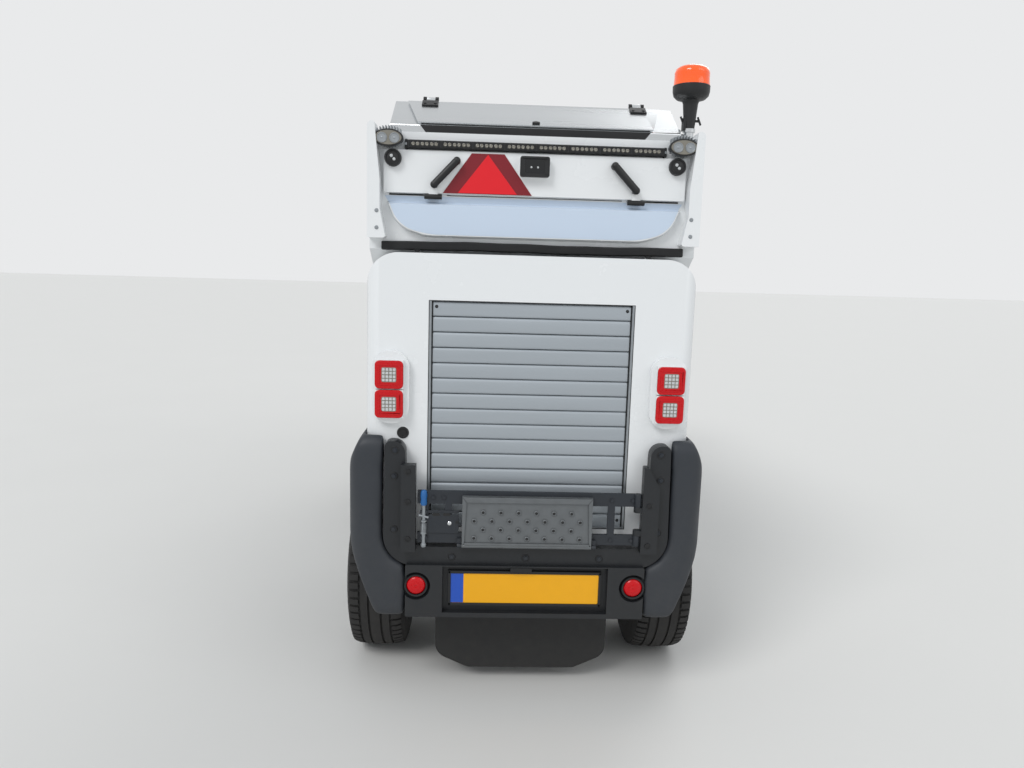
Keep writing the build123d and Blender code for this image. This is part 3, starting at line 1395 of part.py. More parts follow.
FENDER_INSIDE_X = HOOD_HALF_WIDTH + SEAT_GAP
BUMPER_HALF_WIDTH = 416
TRIM_HALF_WIDTH = 497
TRIM_LOW_Z = 515
TRIM_CORNER = 110
TRIM_GAP = 3
FENDER_TOP_Z = 975
FENDER_SIDE_VIEW = [
    # y, z, corner radius
    (REAR_AXLE_Y + BUMPER_BACK + 12, 318, 55),
    (REAR_AXLE_Y + BUMPER_BACK - 24, FENDER_TOP_Z, 45),
    (REAR_AXLE_Y - 425, FENDER_TOP_Z, 70),
    (REAR_AXLE_Y - 425, 420, 30),
]
FENDER_PLAN = [
    # x, y, corner radius
    (BUMPER_HALF_WIDTH + SEAT_GAP, REAR_AXLE_Y + BUMPER_BACK, 0),
    (608, REAR_AXLE_Y + BUMPER_BACK, 90),
    (645, REAR_AXLE_Y + 250, 150),
    (660, REAR_AXLE_Y + 50, 200),
    (660, REAR_AXLE_Y - 300, 200),
    (640, REAR_AXLE_Y - 460, 0),
    (BUMPER_HALF_WIDTH + SEAT_GAP, REAR_AXLE_Y - 460, 0),
]
FENDER_REAR_VIEW = [
    # x, z, corner radius
    (400, 290, 0),
    (510, 302, 42),
    (605, 540, 150),
    (650, 700, 120),
    (640, 832, 110),
    (558, 1005, 0),
    (400, 1005, 0),
]
TRIM_OUTLINE = [
    # x, z, corner radius, left half of the band's outside
    (TRIM_HALF_WIDTH, TRIM_LOW_Z, TRIM_CORNER),
    (TRIM_HALF_WIDTH - 8, 956, 20),
]
with BuildPart() as rear_fenders:
    for side in (1, -1):
        with BuildPart():
            side_points, side_radii = split_rows(FENDER_SIDE_VIEW)
            side_block(side_points, 380 * side, 720 * side, corner=side_radii)
            plan_points, plan_radii = split_rows(FENDER_PLAN)
            plan_block(
                [(side * x, y) for x, y in plan_points], 250, 1060, corner=plan_radii, mode=Mode.INTERSECT
            )
            rear_points, rear_radii = split_rows(FENDER_REAR_VIEW)
            front_block(
                [(side * x, z) for x, z in rear_points],
                REAR_AXLE_Y - 500,
                REAR_AXLE_Y + 620,
                corner=rear_radii,
                mode=Mode.INTERSECT,
            )
            box_between(
                (side * 380, side * FENDER_INSIDE_X),
                (REAR_AXLE_Y - 500, REAR_AXLE_Y + HOOD_BACK + SEAT_GAP),
                (200, 1100),
                mode=Mode.SUBTRACT,
            )
            front_block(
                [
                    (side * 300, TRIM_LOW_Z - TRIM_GAP),
                    (side * (TRIM_HALF_WIDTH + TRIM_GAP), TRIM_LOW_Z - TRIM_GAP),
                    (side * (TRIM_HALF_WIDTH + TRIM_GAP - 8), 1100),
                    (side * 300, 1100),
                ],
                REAR_AXLE_Y + HOOD_BACK - 20,
                REAR_AXLE_Y + 620,
                corner=[0, TRIM_CORNER + TRIM_GAP, 0, 0],
                mode=Mode.SUBTRACT,
            )
            rod_between(
                (side * 380, REAR_AXLE_Y, TYRE_RADIUS),
                (side * 720, REAR_AXLE_Y, TYRE_RADIUS),
                REAR_ARCH_RADIUS,
                mode=Mode.SUBTRACT,
            )
save(rear_fenders, "rear_fenders")

# Bumper with the raised band round the shutter, and the gate posts

PLATE_HALF_WIDTH = 288
GATE_POST_Y = (REAR_AXLE_Y + TRIM_BACK - 4, REAR_AXLE_Y + 542)
GATE_HINGE_X = -380
GATE_HINGE_Y = REAR_AXLE_Y + 527
GATE_HINGE_RADIUS = 13
GATE_PIN_RADIUS = 6
GATE_UPPER_Z = (745, 790)
GATE_LOWER_Z = (606, 643)
with BuildPart() as rear_bumper:
    trim_points, trim_radii = split_rows(TRIM_OUTLINE)
    front_block(
        mirrored(trim_points) + trim_points + [(422, 956), (412, 585), (-412, 585), (-422, 956)],
        REAR_AXLE_Y + HOOD_BACK + SEAT_GAP,
        REAR_AXLE_Y + TRIM_BACK,
        corner=trim_radii[::-1] + trim_radii + [40, 60, 60, 40],
    )
    front_block(
        [(side * BUMPER_HALF_WIDTH, z) for side, z in ((-1, 335), (1, 335), (1, 524), (-1, 524))],
        REAR_AXLE_Y + 451,
        REAR_AXLE_Y + BUMPER_BACK,
        corner=6,
    )
    box_between(
        (-PLATE_HALF_WIDTH, PLATE_HALF_WIDTH),
        (REAR_AXLE_Y + PLATE_BACK - 6, REAR_AXLE_Y + BUMPER_BACK + 5),
        (352, 520),
        mode=Mode.SUBTRACT,
    )
    for side in (1, -1):
        rod_between(
            (side * 379, REAR_AXLE_Y + BUMPER_BACK - 16, 448),
            (side * 379, REAR_AXLE_Y + BUMPER_BACK + 5, 448),
            50,
            mode=Mode.SUBTRACT,
        )
        box_between(
            (side * RAIL_INSIDE_X, side * RAIL_OUTSIDE_X),
            (REAR_AXLE_Y + 450 + SEAT_GAP, REAR_AXLE_Y + 455),
            (440, 530),
        )
    box_between((382, 432), GATE_POST_Y, (576, 881))
    front_block(
        [(-394, 579), (-394, 887), (-410, 887), (-451, 815), (-451, 579)],
        GATE_POST_Y[0],
        GATE_POST_Y[1],
        corner=[2, 4, 6, 10, 2],
    )
    for lug_low, lug_high, pin_low, pin_high in ((643.5, 662, 606, 650), (726, 744.5, 735, 790)):
        box_between(
            (-396, GATE_HINGE_X),
            (GATE_HINGE_Y - GATE_HINGE_RADIUS, GATE_HINGE_Y + GATE_HINGE_RADIUS),
            (lug_low, lug_high),
        )
        rod_between(
            (GATE_HINGE_X, GATE_HINGE_Y, lug_low), (GATE_HINGE_X, GATE_HINGE_Y, lug_high), GATE_HINGE_RADIUS
        )
        rod_between(
            (GATE_HINGE_X, GATE_HINGE_Y, pin_low), (GATE_HINGE_X, GATE_HINGE_Y, pin_high), GATE_PIN_RADIUS
        )
save(rear_bumper, "rear_bumper")

STEP_HINGE_Y = REAR_AXLE_Y + 537
STEP_HINGE_Z = 600
STEP_HALF_WIDTH = 223
RAIL_Y = (REAR_AXLE_Y + TRIM_BACK + 4, REAR_AXLE_Y + 528)
with BuildPart() as gate:
    for z_low, z_high in (GATE_UPPER_Z, GATE_LOWER_Z):
        box_between((GATE_HINGE_X, 376), RAIL_Y, (z_low, z_high))
        rod_between(
            (GATE_HINGE_X, GATE_HINGE_Y, z_low), (GATE_HINGE_X, GATE_HINGE_Y, z_high), GATE_HINGE_RADIUS
        )
    for upright_x in (-290, 270, 350):
        box_between((upright_x - 12, upright_x + 12), RAIL_Y, (GATE_LOWER_Z[0], GATE_UPPER_Z[1]))
    for side in (1, -1):
        box_between(
            (side * (STEP_HALF_WIDTH + 2), side * (STEP_HALF_WIDTH + 16)),
            (RAIL_Y[0], STEP_HINGE_Y),
            (STEP_HINGE_Z - 8, 625),
        )
        rod_between(
            (side * (STEP_HALF_WIDTH + 2), STEP_HINGE_Y, STEP_HINGE_Z),
            (side * (STEP_HALF_WIDTH + 16), STEP_HINGE_Y, STEP_HINGE_Z),
            8,
        )
        rod_between(
            (side * (STEP_HALF_WIDTH - 40), STEP_HINGE_Y, STEP_HINGE_Z),
            (side * (STEP_HALF_WIDTH + 4), STEP_HINGE_Y, STEP_HINGE_Z),
            4,
        )
    for z_low, z_high in (GATE_UPPER_Z, GATE_LOWER_Z):
        rod_between(
            (GATE_HINGE_X, GATE_HINGE_Y, z_low - 1),
            (GATE_HINGE_X, GATE_HINGE_Y, z_high + 1),
            GATE_PIN_RADIUS + PIN_GAP,
            mode=Mode.SUBTRACT,
        )
    for z_low, z_high in ((640, 664), (724, 746)):
        rod_between(
            (GATE_HINGE_X, GATE_HINGE_Y, z_low + 3.3),
            (GATE_HINGE_X, GATE_HINGE_Y, z_high - 1),
            18,
            mode=Mode.SUBTRACT,
        )
save(gate, "gate")

with BuildPart() as step_plate:
    box_between(
        (-STEP_HALF_WIDTH, STEP_HALF_WIDTH), (RAIL_Y[1] + 1, RAIL_Y[1] + 13), (STEP_HINGE_Z, 776)
    )
    rod_between(
        (-STEP_HALF_WIDTH, STEP_HINGE_Y, STEP_HINGE_Z), (STEP_HALF_WIDTH, STEP_HINGE_Y, STEP_HINGE_Z), 8
    )
    for side in (1, -1):
        rod_between(
            (side * (STEP_HALF_WIDTH - 42), STEP_HINGE_Y, STEP_HINGE_Z),
            (side * (STEP_HALF_WIDTH + 2), STEP_HINGE_Y, STEP_HINGE_Z),
            4 + PIN_GAP,
            mode=Mode.SUBTRACT,
        )
save(step_plate, "step_plate")

FLAP_OUTLINE = [(320, RAIL_LOW_Z - SEAT_GAP), (320, 110), (200, 55)]
with BuildPart() as mudflap:
    front_block(
        FLAP_OUTLINE + mirrored(FLAP_OUTLINE),
        REAR_AXLE_Y + 350,
        REAR_AXLE_Y + 358,
        corner=[0, 60, 60, 60, 60, 0],
    )
save(mudflap, "mudflap")

with BuildPart() as rear_lamps:
    for side in (1, -1):
        front_block(
            [(side * 412, 1012), (side * 536, 1012), (side * 536, 1259), (side * 412, 1259)],
            REAR_AXLE_Y + HOOD_BACK + SEAT_GAP,
            REAR_AXLE_Y + HOOD_BACK + 22,
            corner=55,
        )
        for lamp_z in (1081, 1181):
            box_between(
                (side * 430, side * 526),
                (REAR_AXLE_Y + HOOD_BACK + 10, REAR_AXLE_Y + HOOD_BACK + 38),
                (lamp_z - 48, lamp_z + 48),
            )
save(rear_lamps, "rear_lamps")

# Front brushes

PIVOT_Y = FRONT_AXLE_Y - ARM_PIVOT_AHEAD
ELBOW_Y = PIVOT_Y - ELBOW_FROM_PIVOT
BRUSH_Y = FRONT_AXLE_Y - BRUSH_AHEAD
ARM_HINGE_Z = (RAIL_LOW_Z + 35.3, RAIL_HIGH_Z - 35.3)
ELBOW_PIN_RADIUS = 12
MOTOR_LOW_Z = 262
for side, side_name in ((1, "left"), (-1, "right")):
    leg_x = (side * (ARM_PIVOT_X - 30), side * (ARM_PIVOT_X - 4))
    with BuildPart() as swing_arm:
        rod_between(
            (side * ARM_PIVOT_X, PIVOT_Y, ARM_HINGE_Z[0]), (side * ARM_PIVOT_X, PIVOT_Y, ARM_HINGE_Z[1]), 27
        )
        box_between(
            (side * (ARM_PIVOT_X - 30), side * (ARM_PIVOT_X + 24)), (ELBOW_Y - 18, PIVOT_Y), ARM_HINGE_Z
        )
        box_between(leg_x, (ELBOW_Y - 18, ELBOW_Y + 18), (ARM_Z - 24, ARM_HINGE_Z[1]))
        rod_between(
            (leg_x[0], ELBOW_Y, ARM_Z), (side * (ARM_PIVOT_X + 30), ELBOW_Y, ARM_Z), ELBOW_PIN_RADIUS
        )
        rod_between(
            (side * ARM_PIVOT_X, PIVOT_Y, RAIL_LOW_Z),
            (side * ARM_PIVOT_X, PIVOT_Y, RAIL_HIGH_Z),
            ARM_PIN_RADIUS + PIN_GAP,
            mode=Mode.SUBTRACT,
        )
    save(swing_arm, f"swing_arm_{side_name}")
    with BuildPart() as lift_arm:
        rod_between(
            (side * (ARM_PIVOT_X + 1), ELBOW_Y, ARM_Z), (side * (ARM_PIVOT_X + 29), ELBOW_Y, ARM_Z), 24
        )
        rod_between(
            (side * (ARM_PIVOT_X + 15), ELBOW_Y - 10, ARM_Z), (side * BRUSH_X, BRUSH_Y, ARM_Z), 14
        )
        rod_between((side * BRUSH_X, BRUSH_Y, MOTOR_LOW_Z), (side * BRUSH_X, BRUSH_Y, ARM_Z + 40), 56)
        rod_between((side * BRUSH_X, BRUSH_Y, BRUSH_DISC_Z + 5), (side * BRUSH_X, BRUSH_Y, MOTOR_LOW_Z), 12)
        rod_between(
            (side * ARM_PIVOT_X, ELBOW_Y, ARM_Z),
            (side * (ARM_PIVOT_X + 30), ELBOW_Y, ARM_Z),
            ELBOW_PIN_RADIUS + PIN_GAP,
            mode=Mode.SUBTRACT,
        )
    save(lift_arm, f"lift_arm_{side_name}")
    with BuildPart() as brush:
        brush_plane = Plane(origin=(side * BRUSH_X, BRUSH_Y, 0), x_dir=(1, 0, 0), z_dir=(0, -1, 0))
        with BuildSketch(brush_plane) as profile:
            with BuildLine():
                Polyline(
                    (12.1, BRUSH_DISC_Z),
                    (12.1, MOTOR_LOW_Z - 8),
                    (40, MOTOR_LOW_Z - 8),
                    (60, BRUSH_DISC_Z + 25),
                    (165, BRUSH_DISC_Z + 25),
                    (175, BRUSH_DISC_Z),
                    (BRUSH_RADIUS, BRUSH_FLOOR_GAP),
                    (BRUSH_RADIUS - 55, BRUSH_FLOOR_GAP),
                    (120, BRUSH_DISC_Z),
                    close=True,
                )
            make_face()
        revolve(profile.sketch, axis=Axis((side * BRUSH_X, BRUSH_Y, 0), (0, 0, 1)))
    save(brush, f"brush_{side_name}")
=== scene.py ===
"""Compact street sweeper: finishes, tread, lamps, trim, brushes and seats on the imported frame."""

import json
import random
from contextlib import contextmanager
from math import atan2, cos, pi, radians, sin, sqrt

import bmesh
import bpy
from bpy.props import FloatProperty, FloatVectorProperty, IntProperty, PointerProperty
from mathutils import Matrix, Vector


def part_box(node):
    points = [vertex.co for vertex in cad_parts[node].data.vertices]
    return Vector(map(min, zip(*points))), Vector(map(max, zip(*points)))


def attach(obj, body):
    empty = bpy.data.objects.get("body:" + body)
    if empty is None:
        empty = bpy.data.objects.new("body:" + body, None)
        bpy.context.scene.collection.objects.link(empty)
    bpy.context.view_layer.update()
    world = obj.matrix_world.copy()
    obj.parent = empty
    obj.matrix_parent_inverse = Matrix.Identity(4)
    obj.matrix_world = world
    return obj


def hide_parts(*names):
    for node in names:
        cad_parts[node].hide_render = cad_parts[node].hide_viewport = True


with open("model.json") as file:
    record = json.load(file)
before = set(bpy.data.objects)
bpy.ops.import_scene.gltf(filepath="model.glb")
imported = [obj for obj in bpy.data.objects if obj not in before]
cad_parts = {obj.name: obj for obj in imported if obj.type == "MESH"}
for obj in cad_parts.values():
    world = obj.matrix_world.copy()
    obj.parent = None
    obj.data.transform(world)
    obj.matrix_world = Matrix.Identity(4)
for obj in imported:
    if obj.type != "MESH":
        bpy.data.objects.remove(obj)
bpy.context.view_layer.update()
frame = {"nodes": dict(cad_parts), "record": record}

bl_info = {
    "name": "Street sweeper dressing",
    "version": (1, 0, 0),
    "blender": (4, 5, 0),
    "location": "3D View > Sidebar > Sweeper",
    "description": "Dresses the packed street sweeper with finishes, tyres, lamps, trim and seats",
    "category": "Object",
}

X, Y, Z = Vector((1, 0, 0)), Vector((0, 1, 0)), Vector((0, 0, 1))
SIDES = (1, -1)
NAMED_SIDES = ((1, "left"), (-1, "right"))


def corners_of(node):
    """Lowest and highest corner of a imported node's box."""
    return [Vector(corner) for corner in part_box(node)]


def centre_of(node):
    """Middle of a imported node's box."""
    low, high = corners_of(node)
    return (low + high) / 2


REAR_AXLE = centre_of("tyre_rear_left").y
FRONT_AXLE = centre_of("tyre_front_left").y
AXLE_Z = TYRE_RADIUS = centre_of("tyre_rear_left").z
TYRE_X = centre_of("tyre_rear_left").x
BRUSH_CENTRE = centre_of("brush_left")
# Rear faces, from the front of the machine to its tail
HOPPER_Y = REAR_AXLE + 0.37
DOOR_Y = REAR_AXLE + 0.391
HOOD_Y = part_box("rear_hood")[1][1]
PLATE_Y = REAR_AXLE + 0.504
TRIM_Y = REAR_AXLE + 0.512
BUMPER_Y = REAR_AXLE + 0.53


def linear(text):
    """An sRGB hex colour as linear red, green, blue and alpha."""
    parts = [int(text[place : place + 2], 16) / 255 for place in (1, 3, 5)]
    return tuple(p / 12.92 if p <= 0.04045 else ((p + 0.055) / 1.055) ** 2.4 for p in parts) + (1.0,)


def colour_setting(name, about, text):
    """A colour that the user can change, given as sRGB hex."""
    return FloatVectorProperty(
        name=name, description=about, subtype="COLOR", size=4, min=0, max=1, default=linear(text)
    )


class SweeperColours(bpy.types.PropertyGroup):
    """Colours of the machine's main finishes."""

    paint: colour_setting("Paint", "Gloss white of cab, hopper and hood", "#e9ebec")
    plastic: colour_setting("Plastic", "Moulded fenders and intake section", "#272c33")
    shutter: colour_setting("Shutter", "Slats of the rear shutter", "#a7aeb4")
    steel: colour_setting("Steel", "Stainless cowl and flap", "#cdd0d2")
    rack: colour_setting("Rack", "Painted steel of gate and posts", "#252a31")
    amber: colour_setting("Amber", "Beacon lens, indicators and side markers", "#ff5a0a")
    red: colour_setting("Red", "Tail lamp surrounds and fog lamps", "#c2000d")
    plate: colour_setting("Plate", "Number plate ground", "#efab00")
    fabric: colour_setting("Fabric", "Seat covers", "#2b2f36")


class SweeperSizes(bpy.types.PropertyGroup):
    """Sizes and counts of what is added to the frame."""

    tread_depth: FloatProperty(
        name="Tread depth", description="Depth of the tyre grooves", default=0.008, unit="LENGTH"
    )
    tread_blocks: IntProperty(name="Tread blocks", description="Shoulder blocks round a tyre", default=64, min=24)
    slat_count: IntProperty(name="Slats", description="Slats of the rear shutter", default=15, min=4)
    bristle_rows: IntProperty(name="Bristle rows", description="Rings of tufts on a brush", default=3, min=1)
    bristle_tufts: IntProperty(name="Tufts", description="Tufts in one ring of a brush", default=40, min=12)
    seat_swell: FloatProperty(
        name="Seat swell", description="Cap on how far a cushion swells", default=0.012, unit="LENGTH"
    )


# Materials


def add_node(tree, kind, inputs=None, **values):
    """Adds one node, sets its properties, and feeds its inputs with sockets or plain values."""
    made = tree.nodes.new(kind)
    for name, value in values.items():
        setattr(made, name, value)
    for key, value in (inputs or {}).items():
        if isinstance(value, bpy.types.NodeSocket):
            tree.links.new(value, made.inputs[key])
        else:
            made.inputs[key].default_value = value
    return made


def shade(colour, factor):
    """The same colour, darker or lighter."""
    return tuple(min(1.0, part * factor) for part in colour[:3]) + (1.0,)


def surface(
    name,
    colour,
    roughness,
    patch_mm,
    spread,
    grain_mm,
    grain_height_mm,
    metallic=0.0,
    stretch=(1, 1, 1),
    uneven=0.05,
    dust=0.0,
    dust_top=0.9,
    dust_colour="#9b9386",
    coat=0.0,
    ior=1.5,
    emission=0.0,
):
    """A real finish: mottled colour, uneven gloss, fine grain, and road dust that thins out upwards."""
    material = bpy.data.materials.new(name)
    material.use_nodes = True
    tree = material.node_tree
    tree.nodes.clear()
    place = add_node(tree, "ShaderNodeTexCoord").outputs["Object"]
    along = add_node(tree, "ShaderNodeMapping", {"Vector": place, "Scale": stretch}).outputs[0]
    patches = add_node(
        tree, "ShaderNodeTexNoise", {"Vector": along, "Scale": 1000 / patch_mm, "Detail": 5.0, "Roughness": 0.6}
    ).outputs["Fac"]
    tint = add_node(
        tree,
        "ShaderNodeMix",
        {0: patches, 6: shade(colour, 1 - spread), 7: shade(colour, 1 + spread)},
        data_type="RGBA",
    ).outputs[2]
    gloss = add_node(
        tree,
        "ShaderNodeMapRange",
        {
            "Value": patches,
            "From Min": 0.3,
            "From Max": 0.7,
            "To Min": roughness - uneven,
            "To Max": roughness + uneven,
        },
    ).outputs[0]
    if dust:
        # Full at the ground, a twentieth at dust_top, and broken up by streaks about 40 mm wide
        height = add_node(tree, "ShaderNodeSeparateXYZ", {"Vector": place}).outputs["Z"]
        low = add_node(
            tree,
            "ShaderNodeMapRange",
            {"Value": height, "From Min": 0.0, "From Max": dust_top, "To Min": 1.0, "To Max": 0.05},
        ).outputs[0]
        streaks = add_node(
            tree, "ShaderNodeTexNoise", {"Vector": place, "Scale": 26.0, "Detail": 6.0, "Roughness": 0.7}
        ).outputs["Fac"]
        share = add_node(tree, "ShaderNodeMath", {0: low, 1: streaks}, operation="MULTIPLY").outputs[0]
        cover = add_node(
            tree, "ShaderNodeMath", {0: share, 1: 2 * dust}, operation="MULTIPLY", use_clamp=True
        ).outputs[0]
        tint = add_node(
            tree, "ShaderNodeMix", {0: cover, 6: tint, 7: linear(dust_colour)}, data_type="RGBA"
        ).outputs[2]
        gloss = add_node(
            tree, "ShaderNodeMath", {0: cover, 1: 0.6, 2: gloss}, operation="MULTIPLY_ADD", use_clamp=True
        ).outputs[0]
    grain = add_node(
        tree, "ShaderNodeTexNoise", {"Vector": along, "Scale": 1000 / grain_mm, "Detail": 3.0}
    ).outputs["Fac"]
    bump = add_node(
        tree, "ShaderNodeBump", {"Height": grain, "Strength": 0.6, "Distance": grain_height_mm / 1000}
    ).outputs[0]
    shader = add_node(
        tree,
        "ShaderNodeBsdfPrincipled",
        {
            "Base Color": tint,
            "Roughness": gloss,
            "Normal": bump,
            "Metallic": metallic,
            "Coat Weight": coat,
            "Coat Roughness": 0.05,
        },
    )
    if metallic < 0.5:
        shader.inputs["IOR"].default_value = ior
    if emission:
        tree.links.new(tint, shader.inputs["Emission Color"])
        shader.inputs["Emission Strength"].default_value = emission
    add_node(tree, "ShaderNodeOutputMaterial", {0: shader.outputs[0]})
    return material


def node_of(material, kind):
    """The first node of one kind in a material."""
    return next(node for node in material.node_tree.nodes if node.type == kind)


def clear_plastic(name, colour, roughness, transmission, ior):
    """A see-through moulding or pane, with a faint unevenness in its gloss."""
    material = surface(name, colour, roughness, 60, 0.03, 8, 0.01, uneven=0.01)
    shader = node_of(material, "BSDF_PRINCIPLED")
    shader.inputs["Transmission Weight"].default_value = transmission
    shader.inputs["IOR"].default_value = ior
    return material


def woven(name, colour, thread_mm):
    """Flat woven upholstery: two crossing thread waves drawn as bump."""
    material = surface(name, colour, 0.85, 90, 0.08, thread_mm, 0.15)
    tree = material.node_tree
    place = node_of(material, "TEX_COORD").outputs["Object"]
    waves = [
        add_node(
            tree,
            "ShaderNodeTexWave",
            # At scale 1 a wave texture repeats every pi / 10 metres: these lie 2 pi times thread_mm apart
            {"Vector": place, "Scale": 1000 / thread_mm / 20, "Distortion": 0.4, "Detail": 1.0},
            bands_direction=direction,
        ).outputs["Fac"]
        for direction in ("X", "Z")
    ]
    cross = add_node(tree, "ShaderNodeMath", {0: waves[0], 1: waves[1]}, operation="MULTIPLY").outputs[0]
    bump = node_of(material, "BUMP")
    tree.links.new(cross, bump.inputs["Height"])
    bump.inputs["Distance"].default_value = 0.0006
    node_of(material, "BSDF_PRINCIPLED").inputs["Sheen Weight"].default_value = 0.3
    return material


FINISHES = (
    # key, slot in the record, material, sRGB colour or a colour setting, roughness,
    # patch mm, patch spread, grain mm, grain height mm, and what differs from surface()'s defaults

    # Gel-coated glass fibre and gloss paint: clean highlights, a breath of orange peel, dust low down
    ("paint", "white_paint", "gloss_white_gelcoat", "paint", 0.26, 260, 0.008, 9, 0.05,
     dict(uneven=0.02, dust=0.1, dust_top=1.3, coat=0.25)),
    # Rotomoulded polyethylene, grained and faded grey, with road dust in the grain
    ("plastic", "dark_plastic", "moulded_polyethylene", "plastic", 0.58, 90, 0.1, 2.2, 0.12,
     dict(uneven=0.06, dust=0.05, dust_top=1.1)),
    # Bumper and trim band of the same polyethylene, through-dyed nearly black
    ("trim", "dark_plastic", "black_polyethylene", "#14181d", 0.42, 90, 0.1, 2.2, 0.08,
     dict(dust=0.03, dust_top=1.1)),
    # Anodised aluminium slats: satin, with fine lengthwise drawing marks
    ("shutter", "aluminium", "anodised_aluminium", "shutter", 0.46, 50, 0.07, 3, 0.03,
     dict(metallic=0.45, stretch=(0.1, 1, 1), uneven=0.06, dust=0.05, dust_top=1.6)),
    # Brushed stainless sheet: drawn along its length, smeared by rain
    ("steel", "stainless", "brushed_stainless", "steel", 0.3, 120, 0.08, 1.6, 0.03,
     dict(metallic=1.0, stretch=(0.05, 1, 1), uneven=0.08)),
    # Powder-coated steel bar, scuffed
    ("rack", "zinc_steel", "powder_coated_steel", "rack", 0.5, 40, 0.15, 2.5, 0.08,
     dict(metallic=0.2, uneven=0.08, dust=0.06)),
    # Pressed aluminium tread plate, worn dull and grey
    ("tread_plate", "zinc_steel", "worn_aluminium_plate", "#6c7073", 0.5, 35, 0.24, 1.8, 0.08,
     dict(metallic=0.6, uneven=0.12, dust=0.12)),
    # Galvanised fittings, spangled grey
    ("zinc", "zinc_steel", "galvanised_steel", "#9a9fa3", 0.42, 14, 0.14, 4, 0.02,
     dict(metallic=0.85, uneven=0.1, dust=0.1)),
    # Chassis paint: semi-gloss black under dust
    ("chassis", "dark_paint", "chassis_enamel", "#1b1c1e", 0.5, 80, 0.2, 3, 0.08,
     dict(uneven=0.08, dust=0.2, dust_top=0.8)),
    # Black moulded fittings such as handles and housings: satin, even
    ("black", "black_plastic", "black_nylon", "#141517", 0.45, 60, 0.12, 1.2, 0.05, dict(uneven=0.06)),
    # Nitrile seal rubber, chalky
    ("rubber", "rubber", "seal_rubber", "#17181a", 0.72, 70, 0.18, 2, 0.06, dict(dust=0.05)),
    # Thick moulded flap rubber, washed clean and near black
    ("flap_rubber", "rubber", "mudflap_rubber", "#101215", 0.55, 110, 0.12, 2.5, 0.08, dict(dust=0.04, dust_top=0.5)),
    # Tyre rubber: brown-grey bloom and dust toward the road
    ("tyre", "tyre", "tyre_rubber", "#1c1c1d", 0.78, 55, 0.2, 1.5, 0.08,
     dict(dust=0.1, dust_top=0.7, dust_colour="#76716a")),
    # Wheel enamel over pressed steel, with brake dust low down
    ("wheel", "wheel_paint", "wheel_enamel", "#c9cbcc", 0.4, 60, 0.06, 4, 0.05, dict(dust=0.35, dust_top=0.6)),
    # Toughened display glass over a dark panel: near mirror gloss
    ("dark_glass", "glass", "display_glass", "#0b0d10", 0.08, 80, 0.05, 10, 0.005, dict(uneven=0.02)),
    # Amber and red polycarbonate, lit up a little by the light that goes through them
    ("amber", "lamp_amber", "amber_polycarbonate", "amber", 0.14, 30, 0.05, 6, 0.02, dict(coat=0.5, emission=0.18)),
    ("red", "lamp_red", "red_polycarbonate", "red", 0.28, 25, 0.05, 5, 0.02, dict(ior=1.42, emission=0.04)),
    # Fluorescent red film, given a small painted glow for its fluorescence, and the darker reflex film round it, with
    # their fine cells
    ("film_red", "lamp_red", "fluorescent_film", "#dc0a1c", 0.42, 30, 0.03, 1.5, 0.02, dict(emission=0.06)),
    ("film_dark", "lamp_red", "reflex_film", "#7c0a1b", 0.42, 6, 0.16, 1.8, 0.03, {}),
    # Band on the tail panel: pale blue-grey gloss film, its blue tint partly the film's own and partly a painted
    # reflection of the sky, left bare
    ("band", "white_paint", "pale_blue_film", "#c9d7e8", 0.2, 300, 0.02, 10, 0.02, dict(coat=0.3)),
    # Reflex sheet of the bare number plate: faint glass beads
    ("plate_yellow", "lamp_amber", "reflex_yellow_sheet", "plate", 0.35, 40, 0.03, 1.5, 0.02, {}),
    ("plate_blue", "lamp_clear", "reflex_blue_sheet", "#1d4fb5", 0.35, 40, 0.03, 1.5, 0.02, {}),
    # Chromed piston rod and mirror-bright reflectors
    ("chrome", "chrome", "hard_chrome", "#d6d8da", 0.1, 50, 0.03, 3, 0.005,
     dict(metallic=1.0, stretch=(1, 1, 0.2), uneven=0.03)),
    # Sand-cast iron block: coarse and oily
    ("iron", "cast_iron", "cast_iron", "#3b3d3f", 0.7, 40, 0.2, 3, 0.3, dict(metallic=0.6, dust=0.3)),
    # Polypropylene bristles, splayed and dusty
    ("bristle", "bristle", "brush_polypropylene", "#2d3138", 0.6, 12, 0.35, 1.5, 0.1,
     dict(stretch=(1, 1, 0.15), dust=0.45, dust_top=0.25)),
    # Dipped PVC grip and filler caps
    ("blue", "black_plastic", "blue_grip_pvc", "#1f5f9e", 0.45, 20, 0.06, 2, 0.05, {}),
    # Grained ABS of dashboard and door linings
    ("dash", "grey_plastic", "grained_dash_abs", "#3a3d41", 0.6, 80, 0.06, 1.4, 0.12, {}),
)
CLEAR_FINISHES = (
    # key, slot in the record, material, sRGB colour, roughness, transmission, IOR

    # Tinted safety glass of the cab
    ("glass", "glass", "tinted_safety_glass", "#cbdad6", 0.03, 0.95, 1.45),
    # Polycarbonate lenses, water-clear and smoked
    ("lens_clear", "lamp_clear", "clear_polycarbonate", "#eef1f2", 0.08, 0.35, 1.58),
    ("lens_smoked", "lamp_clear", "smoked_polycarbonate", "#8c887d", 0.14, 0.2, 1.58),
)
MATERIALS = {}


def make_materials():
    """Every finish on the machine, by its key."""
    colours = bpy.context.scene.sweeper_colours
    for key, _, name, colour, *numbers, rest in FINISHES:
        colour = linear(colour) if colour.startswith("#") else getattr(colours, colour)[:]
        MATERIALS[key] = surface(name, colour, *numbers, **rest)
    for key, _, name, colour, *numbers in CLEAR_FINISHES:
        MATERIALS[key] = clear_plastic(name, linear(colour), *numbers)
    # Woven polyester of the seats, in a coarse weave of 3 mm threads that repeats every 19 mm
    MATERIALS["fabric"] = woven("woven_upholstery", colours.fabric[:], 3.0)


# Shapes


